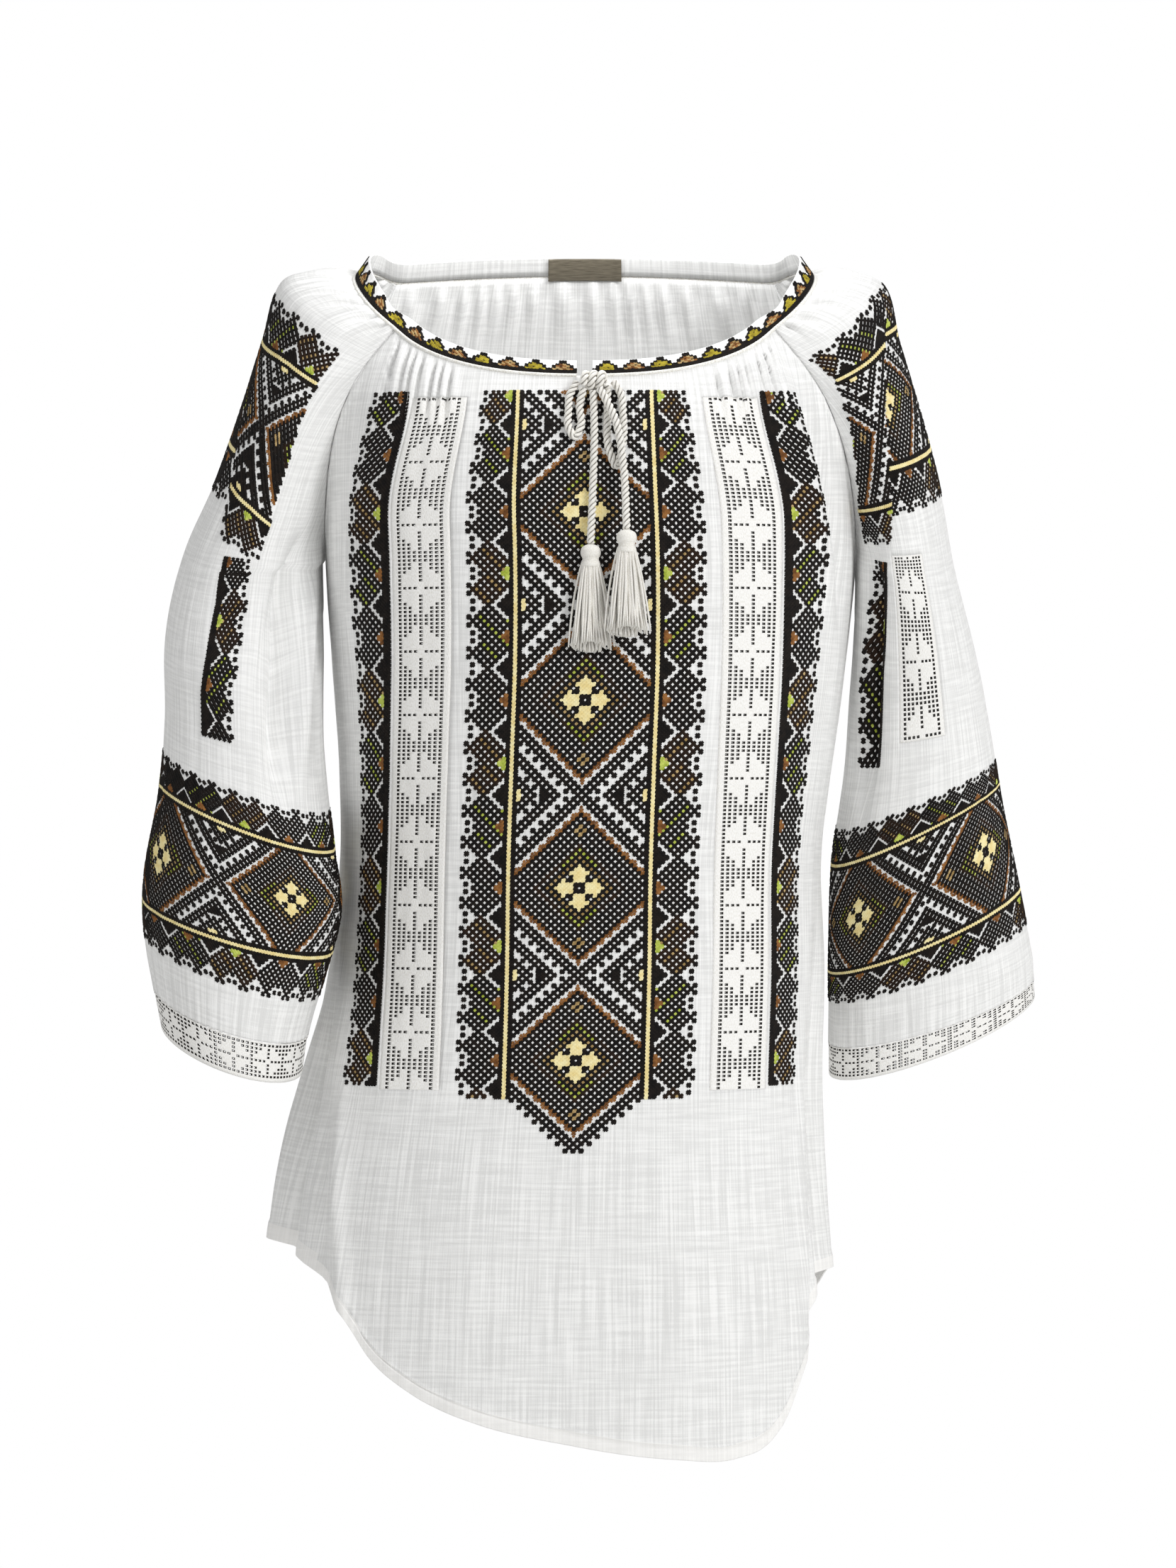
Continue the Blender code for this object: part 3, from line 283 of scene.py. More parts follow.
def outward(surface, a, b, step_a, step_b):
    """Unit normal of a surface whose first parameter runs round it and second runs down it."""
    across = surface(a + step_a, b) - surface(a - step_a, b)
    along = surface(a, b + step_b) - surface(a, b - step_b)
    normal = np.cross(along, across)
    return normal / np.maximum(np.linalg.norm(normal, axis=-1, keepdims=True), 1e-12)


def plain_normal(share, down):
    """Unit normal of the body before its folds."""
    return outward(body_plain, share, down, 0.03, 0.008)


def folds(table, place, along, whole):
    """Sum of ridges and troughs: each falls off as exp(-|x|**1.4) across and fades along its ends.

    whole is the way round in the units of place, so a fold carries on across a closing seam.
    """
    total = np.zeros(np.broadcast(place, along).shape)
    for centre, width, depth, drift, top, bottom in table:
        t = (along - top) / (bottom - top)
        aside = place - centre - drift * (t - 0.5)
        across = ((aside + whole / 2) % whole - whole / 2) / width
        total += depth * np.exp(-np.abs(across) ** 1.4) * ease(t / 0.35) * ease((1 - t) / 0.35)
    return total


def gathers(table, place, distance):
    """Waves below the neck band, deepest a little way down and gone at their reach.

    The waves are unevenly wide, with broad ridges and narrow troughs, and every other one ends
    sooner than its neighbours.
    """
    wave = np.zeros(np.broadcast(place, distance).shape)
    fade = 1 - ease(distance / GATHER_REACH)
    for start, end, count, depth in table:
        t = (place - start) / (end - start)
        edge = ease(t * count) * ease((1 - t) * count)
        uneven = t + 0.022 * np.sin(2 * math.pi * t * 2.7)
        short = 1 - 0.5 * (0.5 + 0.5 * np.cos(math.pi * t * count)) * (1 - fade)
        trough = (0.5 + 0.5 * np.cos(2 * math.pi * uneven * count)) ** 3
        wave += depth * edge * short * (0.6 - 1.8 * trough)
    return wave * ease(distance / 0.014) * fade


def ripples(across, down):
    """Crossing sine waves whose phases wander, in metres, for cloth that was never pressed flat."""
    total = np.zeros(np.broadcast(across, down).shape)
    for depth, wide, tall, phase in RIPPLES:
        wander = phase + 1.4 * np.sin(2 * math.pi * down / (1.7 * tall) + 2 * phase)
        swell = 0.5 + 0.5 * np.sin(2 * math.pi * down / tall + 9 * across / wide / 7 + phase)
        total += depth * swell * np.sin(2 * math.pi * across / wide + wander)
    return total


def neck_down(share):
    """Depth of the neck seam: a flat-bottomed scoop in front, and nearly level behind."""
    share = from_front(share)
    end, end_down = SEAM_POINTS[0][1:3]
    scoop = (1 - np.minimum(np.abs(share) / end, 1) ** 2.4) ** 0.9
    front = end_down + (NECK_DROP - end_down) * scoop
    back_end, back_down = SEAM_POINTS[0][3:5]
    rise = 1 - np.minimum((2 - np.abs(share)) / back_end, 1) ** 2
    return np.where(np.abs(share) < 1, front, back_down - 0.006 * rise)


def body_point(share, down):
    """Point of the body with its folds, gathers and ripples, pushed out along its normal."""
    share, down = same_shape(share, down)
    place = (share + 1) % 4 - 1
    below = down - neck_down(share)
    size = folds(BODY_FOLDS, place, down, 4.0) + gathers(BODY_GATHERS, place, below)
    size = size + ripples(place * CLOTH_ROUND, down) * ease(below / 0.03)
    return body_plain(share, down) + plain_normal(share, down) * size[..., None]


def body_normal(share, down):
    """Unit normal of the body with its folds."""
    return outward(body_point, share, down, 0.01, 0.003)


def share_at(distance, down):
    """Share of the way to the side for a distance round the front from its centre line."""
    distance = np.asarray(distance, float)
    right = np.interp(down, LEVELS, QUARTERS[:, 0])
    left = np.interp(down, LEVELS, QUARTERS[:, 1])
    drawn = NECK_EASE + SIDE_EASE * ease((np.abs(distance) - EASE_FROM) / EASE_WIDTH)
    pull = 1 - drawn * (1 - ease((down - NECK_DROP) / EASE_REACH))
    return distance * pull / np.where(distance < 0, right, left)


def seam(along, side, half, inset=0.0):
    """Share and depth of a slanting seam, moved into its panel by a small inset."""
    share = column(SEAM_POINTS, SEAM_COLUMNS, half + "_share", along) - inset
    down = column(SEAM_POINTS, SEAM_COLUMNS, half + "_down", along)
    return side * (share if half == "front" else 2 - share), down


def top_edge(share, half):
    """Depth where a panel starts: the neck seam, and past its end the slanting seam."""
    aside = np.abs(from_front(share))
    seam_share, seam_down = seam(np.linspace(0, 1, 200), 1, half)
    if half == "back":
        aside, seam_share = 2 - aside, 2 - seam_share
    on_seam = np.interp(aside, seam_share, seam_down)
    return np.where(aside < seam_share[0], neck_down(share), on_seam)


def hem_down(share):
    """Depth of the hem."""
    return column(HEM_POINTS, ("share", "down"), "down", from_front(share))


PLAIN_EDGE = 0.1400  # out to here the columns of the front keep their distance from the centre
HALF_FRONT = 0.2300


def front_share(distance, down):
    """Share of a column of the front: by distance near the centre, then spread to the side."""
    near = share_at(np.clip(distance, -PLAIN_EDGE, PLAIN_EDGE), down)
    rest = np.maximum(np.abs(distance) - PLAIN_EDGE, 0) / (HALF_FRONT - PLAIN_EDGE)
    return near + np.sign(distance) * (1 - np.abs(near)) * rest


def steps_between(start, *spans):
    """Values from the start through several spans, each given by its end and how many it holds."""
    values = []
    for end, count in spans:
        values.append(np.linspace(start, end, count, endpoint=False))
        start = end
    return np.concatenate(values + [[start]])


def hem_turned(above_hem):
    """How far the doubled hem stands out, with a dip where its stitching pulls it in."""
    doubled = 1 - ease((above_hem - HEM_TURN) / 0.0009)
    dip = np.exp(-(((above_hem - HEM_TURN + 0.0012) / 0.0005) ** 2))
    return HEM_STAND * (doubled - dip)


def seam_ridge(points, path):
    """How far a felled seam stands out, by each point's distance from the seam's path."""
    nearest = np.full(points.shape[:-1], 1.0)
    for place in path:
        nearest = np.minimum(nearest, np.linalg.norm(points - place, axis=-1))
    ridge = SEAM_STAND * (1 - ease((nearest - SEAM_HALF) / 0.0012))
    return ridge - SEAM_GROOVE * np.exp(-((nearest / 0.0009) ** 2))


def body_seams():
    """Points every few millimetres along the side seams and the slanting seams."""
    steps = np.linspace(0, 1, 60)
    paths = []
    for side in (-1, 1):
        for half in ("front", "back"):
            paths.append(body_plain(*seam(steps, side, half)))
        down = np.linspace(SEAM_POINTS[-1][2], float(hem_down(side)), 150)
        paths.append(body_point(np.full(150, float(side)), down))
    return np.concatenate(paths)


BODY_SEAMS = body_seams()


def numbered(*shape):
    """The numbers of a grid's points, counted along its rows."""
    return np.arange(math.prod(shape)).reshape(shape)


def grid_faces(number, skip=False):
    """Four-sided faces, facing outwards, of numbered points whose rows run down the piece."""
    corners = [number[:-1, :-1], number[1:, :-1], number[1:, 1:], number[:-1, 1:]]
    faces = np.stack(corners, axis=-1)
    return faces[np.broadcast_to(np.logical_not(skip), faces.shape[:2])]


def new_thing(name, points, faces, smooth=True):
    """An object in the scene with a mesh of its own, from lists of points and faces."""
    mesh = bpy.data.meshes.new(name)
    mesh.from_pydata(points, [], faces)
    mesh.polygons.foreach_set("use_smooth", np.full(len(faces), smooth))
    thing = bpy.data.objects.new(name, mesh)
    bpy.context.collection.objects.link(thing)
    return thing


def add_mesh(name, points, faces, uv=None):
    """A smooth mesh object from arrays. Points that no face uses are left out."""
    used, back = np.unique(faces, return_inverse=True)
    corners = np.asarray(back).reshape(faces.shape)
    thing = new_thing(name, points.reshape(-1, 3)[used].tolist(), corners.tolist())
    if uv is not None:
        layer = thing.data.uv_layers.new(name="cloth")
        layer.data.foreach_set("uv", uv.reshape(-1, 2)[faces.ravel()].ravel())
    return thing


def thicken(thing, wall):
    """Give a sheet its thickness on the inner side."""
    solid = thing.modifiers.new("thickness", "SOLIDIFY")
    solid.thickness = wall
    solid.offset = -1.0


def linear(text):
    """Linear colour of an sRGB hex value: c over 12.92 when dark, else a power of 2.4."""
    parts = [int(text[i:i + 2], 16) / 255 for i in (1, 3, 5)]
    return [c / 12.92 if c <= 0.04045 else ((c + 0.055) / 1.055) ** 2.4 for c in parts] + [1.0]


def node(tree, kind, sockets=None, stops=(), **settings):
    """Add a node. sockets maps each input's name or number to a value or to a socket to link.

    stops are a colour ramp's places and hex values.
    """
    made = tree.nodes.new(kind)
    for name, value in settings.items():
        setattr(made, name, value)
    for stop, (place, text) in enumerate(stops):
        made.color_ramp.elements[stop].position = place
        made.color_ramp.elements[stop].color = linear(text)
    for name, value in (sockets or {}).items():
        if isinstance(value, bpy.types.NodeSocket):
            tree.links.new(value, made.inputs[name])
        else:
            made.inputs[name].default_value = value
    return made


def new_material(name):
    """A material and its node tree, with no node in it yet."""
    material = bpy.data.materials.new(name)
    material.use_nodes = True
    tree = material.node_tree
    tree.nodes.clear()
    return material, tree


def surface(tree, colour, height, depth, look):
    """End a material: its colour, its relief as strength and distance, and how it takes light."""
    strength, distance = depth
    bump = node(tree, "ShaderNodeBump", {
        "Strength": strength,
        "Distance": distance,
        "Height": height,
    })
    shader = node(tree, "ShaderNodeBsdfPrincipled", look)
    tree.links.new(colour, shader.inputs["Base Color"])
    tree.links.new(bump.outputs[0], shader.inputs["Normal"])
    node(tree, "ShaderNodeOutputMaterial", {"Surface": shader.outputs[0]})


def cotton(name, light, shade, line_depth):
    """Loosely woven, washed cotton gauze: matt and bright, with slubs that show as crossing lines.

    Real threads are 0.4 mm apart, too fine to show, so the lines are drawn 1 to 2 mm apart.
    """
    material, tree = new_material(name)
    uv = node(tree, "ShaderNodeUVMap", uv_map="cloth").outputs["UV"]
    lines = []
    for scale in ((760.0, 13.0, 1.0), (26.0, 520.0, 1.0), (1500.0, 1500.0, 1.0)):
        stretched = node(tree, "ShaderNodeMapping", {"Vector": uv, "Scale": scale})
        sockets = {"Vector": stretched.outputs[0], "Scale": 1.0, "Detail": 2.0, "Roughness": 0.6}
        lines.append(node(tree, "ShaderNodeTexNoise", sockets).outputs[0])
    sockets = {0: lines[1], 1: 0.6, 2: lines[0]}
    crossed = node(tree, "ShaderNodeMath", sockets, operation="MULTIPLY_ADD").outputs[0]
    sockets = {0: lines[2], 1: 0.4, 2: crossed}
    height = node(tree, "ShaderNodeMath", sockets, operation="MULTIPLY_ADD").outputs[0]
    colour = node(tree, "ShaderNodeValToRGB", {"Fac": crossed}, [(0.68, shade), (0.96, light)])
    surface(tree, colour.outputs[0], height, (line_depth, 0.0008), {
        "Roughness": 0.88,
        "Specular IOR Level": 0.2,
        "Sheen Weight": 0.1,
        "Sheen Roughness": 0.5,
    })
    return material


COTTON = cotton("cotton_gauze_woven", "#FCFCFB", "#E6E6E5", 0.30)
COTTON_DOUBLE = cotton("cotton_gauze_doubled", "#FFFEFC", "#F6F5F3", 0.18)


def cloth_uv(share, down):
    """Places on the flat cloth of the front: metres across and metres up."""
    return np.stack([share * CLOTH_ROUND + 0.25, 0.75 - down], axis=-1)


def body_panel(name, share, down, above_hem, uv, skip):
    """A panel of the body, with its seams and its turned hem raised along its normal.

    Its weave shows less where the hem lies double, in brighter cotton.
    """
    points = body_point(share, down)
    push = hem_turned(above_hem) + seam_ridge(points, BODY_SEAMS)
    points = points + body_normal(share, down) * push[..., None]
    panel = add_mesh(name, points, grid_faces(numbered(*down.shape), skip), uv)
    thicken(panel, CLOTH)
    panel.data.materials.append(COTTON)
    panel.data.materials.append(COTTON_DOUBLE)
    doubled = (above_hem[:-1, :-1] + above_hem[1:, 1:]) / 2 < HEM_TURN
    panel.data.polygons.foreach_set("material_index", doubled[~skip].astype(int))
    return panel


half_columns = steps_between(
    0.0, (LACE_NEAR, 30), (LACE_FAR, 36), (PLAIN_EDGE, 14),
    (HALF_FRONT - 0.008, 26), (HALF_FRONT, 6),
)
front_columns = np.concatenate([-half_columns[:0:-1], half_columns])
TOP_ROWS = 16
LACE_ROWS = 92
HEM_ROWS = [0, 0.0006, 0.0015, 0.003, 0.005, 0.0072, 0.0078, 0.0084, 0.0090, 0.0098, 0.0108, 0.0125]
hem_steps = 1 - np.array(HEM_ROWS[::-1]) / 0.2  # shares of the way down, below the lace
low_steps = np.concatenate([np.linspace(0, 0.93, 34, endpoint=False), hem_steps])


def front_meets(edge, guess):
    """Depth where each column of the front meets an edge, halving the error thirty times."""
    down = np.full(len(front_columns), guess)
    for _ in range(30):
        down = 0.5 * down + 0.5 * edge(front_share(front_columns, down))
    return down


def front_grid():
    """Shares and depths of the front: rows from the neck to the lace, along it, and to the hem."""
    start = front_meets(partial(top_edge, half="front"), 0.06)
    first = np.maximum(LACE_TOP, start + 0.012)
    end = front_meets(hem_down, 0.7)
    upper = np.linspace(0, 1, TOP_ROWS, endpoint=False)[:, None]
    middle = np.linspace(0, 1, LACE_ROWS, endpoint=False)[:, None]
    down = np.concatenate([
        start + (first - start) * upper,
        first + (LACE_END - first) * middle,
        LACE_END + (end - LACE_END) * low_steps[:, None],
    ])
    return front_share(front_columns[None], down), down, end[None] - down


front_shares, front_downs, above_hem = front_grid()
row_number = np.arange(len(front_downs) - 1)
in_lace_rows = (row_number >= TOP_ROWS) & (row_number < TOP_ROWS + LACE_ROWS)
middles = np.abs(front_columns[:-1] + front_columns[1:]) / 2
in_lace_columns = (middles > LACE_NEAR) & (middles < LACE_FAR)
lace_openings = in_lace_rows[:, None] & in_lace_columns[None]
front_uv = cloth_uv(front_shares, front_downs)
front = body_panel("blouse_front", front_shares, front_downs, above_hem, front_uv, lace_openings)
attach(front, "root")
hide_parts("front_panel")


# Lace strips of the front. White drawn-thread work let in between the embroidered columns: small
# oblong holes in a line down each edge, and lozenges of them on a stem, with a rung between.
LACE = 0.0013
LACE_BARS = 9  # holes across a strip
LACE_PITCH = 0.0037
LACE_HOLE = 0.0023
LACE_ROW = 0.0024
LACE_ROW_HOLE = 0.0015
LACE_REPEAT = 16
LACE_MARGIN = 0.0018
HOLE_TAPER = 0.60  # how much smaller a hole is behind than in front
SIDES = ((-1, "right"), (1, "left"))


def lace_holes(across, along):
    """Whether the hole at a bar and a row is open, by its steps from the nearer edge."""
    from_edge = np.minimum(across, LACE_BARS - 1 - across)
    row = along % LACE_REPEAT
    from_middle = np.abs(row - LACE_REPEAT // 2)
    reach = np.array([LACE_REPEAT, 4, 3, 1, 6])[from_edge]
    rung = (row == 0) & (from_edge >= 1) & (from_edge <= 3)
    return (from_middle <= reach) | rung


def hole_lines(start, end, pitch, hole):
    """Grid lines along one direction, two for each hole, and how many holes there are."""
    count = int((end - start) / pitch + 0.001)
    margin = (end - start - count * pitch) / 2
    first = start + margin + pitch * np.arange(count) + (pitch - hole) / 2
    inner = np.stack([first, first + hole], axis=1).ravel()
    return np.concatenate([[start], inner, [end]]), count


def strip_lines(near, far):
    """Grid lines across a strip: a plain edge on each side of its holes."""
    start = (near + far - LACE_BARS * LACE_PITCH) / 2
    lines, _ = hole_lines(start, start + LACE_BARS * LACE_PITCH, LACE_PITCH, LACE_HOLE)
    return np.concatenate([[near, near + LACE_MARGIN], lines, [far - LACE_MARGIN, far]])


def strip_openings(rows, phase=0):
    """Which cells of a strip's grid are holes, for a number of rows."""
    holes = np.zeros((2 * rows + 1, 2 * LACE_BARS + 5), bool)
    bar, row = np.meshgrid(np.arange(LACE_BARS), np.arange(rows))
    holes[1::2, 3:-2:2] = lace_holes(bar, row + phase)
    return holes


def lace_cloth(name, points, out, holes, uv, side, closed=False):
    """A sheet of lace with both faces and the sides of its holes, which narrow towards the back."""
    behind = points - LACE * out
    r, c = np.nonzero(holes)
    rows = np.stack([r, r + 1, r + 1, r], axis=1)
    columns = np.stack([c, c, c + 1, c + 1], axis=1)
    corners = behind[rows, columns]
    behind[rows, columns] = corners + HOLE_TAPER * (corners.mean(axis=1, keepdims=True) - corners)
    number = numbered(*points.shape[:2])
    if closed:
        number[:, -1] = number[:, 0]
    faces = grid_faces(number, holes)
    borders = [(number[0, :-1], number[0, 1:]), (number[-1, 1:], number[-1, :-1])]
    if not closed:
        borders += [(number[1:, 0], number[:-1, 0]), (number[:-1, -1], number[1:, -1])]
    ring = number[rows, columns]
    sides = np.stack([ring, np.roll(ring, -1, axis=1)], axis=-1).reshape(-1, 2)
    edges = np.concatenate([np.stack(pair, axis=-1) for pair in borders])
    ridges = np.concatenate([edges, sides])
    walls = np.concatenate([ridges, ridges[:, ::-1] + number.size], axis=1)
    every = np.concatenate([faces, faces[:, ::-1] + number.size, walls])
    every = every if side > 0 else every[:, ::-1]
    thing = add_mesh(name, np.concatenate([points, behind]), every, np.concatenate([uv, uv]))
    thing.data.materials.append(LACE_COTTON)
    # The second material, on the sides of the holes, is painted shade.
    thing.data.materials.append(LACE_PAINTED_SHADE)
    inside = np.arange(len(every)) >= len(every) - len(sides)
    thing.data.polygons.foreach_set("material_index", inside.astype(int))
    return thing


def lace_strip(name, side):
    """A strip of lace on the front, a little below the face of the cloth around it."""
    across = strip_lines(LACE_NEAR + 0.0002, LACE_FAR - 0.0002)
    downs, rows = hole_lines(LACE_TOP, LACE_END, LACE_ROW, LACE_ROW_HOLE)
    down, aside = np.meshgrid(downs, across, indexing="ij")
    share = share_at(aside * side, down)
    out = body_normal(share, down)
    points = body_point(share, down) - 0.0001 * out
    return lace_cloth(name, points, out, strip_openings(rows), cloth_uv(share, down), side)


def lace_thread(name, light, shade):
    """Twisted cotton thread in darned bars, brighter and smoother than the gauze."""
    material, tree = new_material(name)
    uv = node(tree, "ShaderNodeUVMap", uv_map="cloth").outputs["UV"]
    spread = node(tree, "ShaderNodeMapping", {"Vector": uv, "Scale": (1400.0, 700.0, 1.0)})
    twist = node(tree, "ShaderNodeTexNoise", {"Vector": spread.outputs[0], "Scale": 1.0}).outputs[0]
    colour = node(tree, "ShaderNodeValToRGB", {"Fac": twist}, [(0.3, shade), (0.6, light)])
    surface(tree, colour.outputs[0], twist, (0.5, 0.0008), {
        "Roughness": 0.75,
        "Specular IOR Level": 0.3,
        "Sheen Weight": 0.2,
    })
    return material


# The holes look dark right up to their edges, so the sides of the holes get a dark cotton: painted
# shade for their depth.
LACE_COTTON = lace_thread("lace_cotton_darned", "#FFFEFC", "#F0EEE8")
LACE_PAINTED_SHADE = lace_thread("lace_cotton_hole_painted_shade", "#38342F", "#221F1C")
for side, word in SIDES:
    lace_name = "lace_front_" + word
    lace = lace_strip(lace_name + "_strip", side)
    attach(lace, "root")
    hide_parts(lace_name)


# Back panel. The same cotton, gathered closer than the front, with its hem a little longer.
BACK_COLUMNS = 190
back_down_steps = np.concatenate([
    np.linspace(0, 0.10, 18, endpoint=False),
    np.linspace(0.10, 0.93, 70, endpoint=False),
    hem_steps * 0.30 + 0.70,
])
back_edge = np.concatenate([[1.0], np.linspace(1.02, 2.98, BACK_COLUMNS), [3.0]])
back_start = top_edge(back_edge, "back")
back_end = hem_down(back_edge)
back_downs = back_start + (back_end - back_start) * back_down_steps[:, None]
back_shares = np.broadcast_to(back_edge, back_downs.shape)
back_uv = np.stack([(back_shares - 1) * 0.22 + 0.02, 0.75 - back_downs], axis=-1)
unbroken = np.zeros((back_downs.shape[0] - 1, back_downs.shape[1] - 1), bool)
back = body_panel("blouse_back", back_shares, back_downs, back_end - back_downs, back_uv, unbroken)
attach(back, "root")
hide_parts("back_panel")


# Sleeves. Each is one width of the cotton, gathered to the neck band above and joined to the body
# by slanting seams, then closed under the arm. The left one has a strip of lace let in.
ARMPIT = 0.221
CUFF_START = 0.490
CUFF_END = 0.516
SLEEVE_COLUMNS = ("along", "outer_x", "outer_down", "inner_x", "inner_down", "y", "deep", "lean")
SLEEVE_RIGHT = [
    (0.000, 0.1430, 0.0015, 0.150, 0.050, 0.000, 0.052, 17.0),
    (0.030, 0.1700, -0.0015, 0.152, 0.060, 0.000, 0.054, 16.0),
    (0.050, 0.1870, 0.0030, 0.154, 0.080, 0.000, 0.056, 16.0),
    (0.085, 0.1995, 0.0400, 0.156, 0.110, -0.003, 0.058, 14.0),
    (0.127, 0.2120, 0.0800, 0.158, 0.140, -0.007, 0.060, 12.0),
    (0.168, 0.2270, 0.1240, 0.160, 0.160, -0.012, 0.061, 11.0),
    (0.221, 0.2480, 0.1740, 0.163, 0.178, -0.020, 0.060, 10.0),
    (0.274, 0.2580, 0.2250, 0.161, 0.236, -0.036, 0.058, 9.0),
    (0.320, 0.2570, 0.2700, 0.160, 0.292, -0.050, 0.058, 9.0),
    (0.377, 0.2600, 0.3200, 0.153, 0.354, -0.064, 0.060, 9.0),
    (0.425, 0.2685, 0.3720, 0.149, 0.396, -0.070, 0.061, 10.0),
    (0.460, 0.2680, 0.4050, 0.159, 0.434, -0.072, 0.061, 11.0),
    (0.487, 0.2630, 0.4340, 0.168, 0.464, -0.072, 0.060, 12.0),
    (0.516, 0.2580, 0.4600, 0.172, 0.490, -0.072, 0.060, 13.0),
]
SLEEVE_LEFT = [
    (0.000, 0.1430, 0.0015, 0.150, 0.050, 0.000, 0.052, 17.0),
    (0.030, 0.1680, -0.0010, 0.152, 0.060, 0.000, 0.054, 16.0),
    (0.050, 0.1845, 0.0050, 0.154, 0.080, 0.000, 0.056, 16.0),
    (0.085, 0.1950, 0.0400, 0.156, 0.110, 0.003, 0.058, 14.0),
    (0.127, 0.2070, 0.0800, 0.158, 0.140, 0.007, 0.059, 12.0),
    (0.168, 0.2195, 0.1240, 0.162, 0.160, 0.012, 0.058, 11.0),
    (0.221, 0.2300, 0.1790, 0.168, 0.178, 0.019, 0.056, 10.0),
    (0.274, 0.2440, 0.2330, 0.167, 0.240, 0.029, 0.053, 9.0),
    (0.320, 0.2540, 0.2830, 0.163, 0.300, 0.036, 0.051, 9.0),
    (0.377, 0.2620, 0.3300, 0.155, 0.364, 0.041, 0.050, 9.0),
    (0.425, 0.2740, 0.3880, 0.153, 0.420, 0.043, 0.049, 10.0),
    (0.460, 0.2800, 0.4200, 0.153, 0.452, 0.043, 0.048, 12.0),
    (0.487, 0.2810, 0.4350, 0.153, 0.474, 0.042, 0.047, 14.0),
    (0.516, 0.2820, 0.4470, 0.153, 0.496, 0.041, 0.047, 17.0),
]
CAP_COLUMNS = ("along", "seam", "spread")
CAP_POINTS = [
    (0.000, 0.00, 90.0),
    (0.030, 0.07, 93.0),
    (0.050, 0.14, 97.0),
    (0.085, 0.29, 107.0),
    (0.127, 0.53, 125.0),
    (0.168, 0.78, 148.0),
    (0.221, 1.00, 180.0),
]
SLEEVE_RIGHT_FOLDS = [
    (-124.0, 11.0, -0.0170, 20.0, 0.170, 0.370),
    (-143.0, 9.0, 0.0080, 20.0, 0.190, 0.360),
    (-106.0, 9.0, -0.0060, 26.0, 0.210, 0.340),
    (-104.0, 12.0, 0.0050, 14.0, 0.190, 0.360),
    (120.0, 20.0, -0.0050, 0.0, 0.200, 0.480),
    (70.0, 22.0, 0.0035, 0.0, 0.180, 0.480),
]
SLEEVE_LEFT_FOLDS = [
    (-136.0, 10.0, -0.0110, -8.0, 0.180, 0.370),
    (-148.0, 16.0, 0.0030, -6.0, 0.200, 0.330),
    (120.0, 20.0, -0.0050, 0.0, 0.200, 0.480),
    (70.0, 22.0, 0.0035, 0.0, 0.180, 0.480),
]
SLEEVE_GATHERS = [(-1.0, 1.0, 14, 0.0036)]
CUFF_PLEATS = (52, 0.0006, 0.045)  # how many, how deep, and how far up they reach
SLEEVE_LACE_START = 0.205
SLEEVE_LACE_END = 0.310
SLEEVE_LACE_TURNS = (-108.0, -70.0)
SLEEVE_ROUND = 0.00105  # metres in a degree of turn
KEPT_TURN = 112  # columns of the grid out to here keep their turn below the shoulder


def spread_at(along):
    """How far a sleeve's section reaches to each side of its outer line, in degrees."""
    spread = column(CAP_POINTS, CAP_COLUMNS, "spread", along)
    return np.where(np.asarray(along) < ARMPIT, spread, 180.0)


def sleeve_plain(side, turn, along):
    """Point of a sleeve before its folds.

    A section is an oval through the outer and inner lines. Above the armpit it is open: it spans
    only the turns between the slanting seams, and its ends are drawn onto them.
    """
    table = SLEEVE_LEFT if side > 0 else SLEEVE_RIGHT
    turn, along = same_shape(turn, along)
    read = {name: column(table, SLEEVE_COLUMNS, name, along) for name in SLEEVE_COLUMNS}
    y = read["y"]
    outer = np.stack([side * read["outer_x"], y, -read["outer_down"]], axis=-1)
    settle = ease((along - ARMPIT) / 0.08)
    inner = np.stack([side * read["inner_x"], y * settle, -read["inner_down"]], axis=-1)
    on_seam = column(CAP_POINTS, CAP_COLUMNS, "seam", along)
    spread = spread_at(along)
    ends = []
    for half in ("front", "back"):
        share, down = seam(on_seam, side, half, -0.0013)
        raised = plain_normal(share, down) * (0.0007 * ease(on_seam))[..., None]
        ends.append(body_plain(share, down) + raised)
    inner = np.where((along < ARMPIT)[..., None], (ends[0] + ends[1]) / 2, inner)
    spread_cos = np.cos(np.radians(spread))
    reach = -spread_cos / (1 - spread_cos)
    centre = inner + (outer - inner) * reach[..., None]
    lean = np.radians(read["lean"])
    front_way = np.stack([0 * lean, -np.cos(lean), -np.sin(lean)], axis=-1)
    front_way = front_way * read["deep"][..., None]

    def oval(angle):
        c = np.cos(np.radians(angle))[..., None]
        s = np.sin(np.radians(angle))[..., None]
        return centre + (outer - centre) * c - front_way * s

    weight = (np.abs(turn) / spread) ** 2
    end = np.where((turn < 0)[..., None], ends[0] - oval(-spread), ends[1] - oval(spread))
    end = np.where((along < ARMPIT)[..., None], end, 0)
    return oval(turn) + end * weight[..., None]


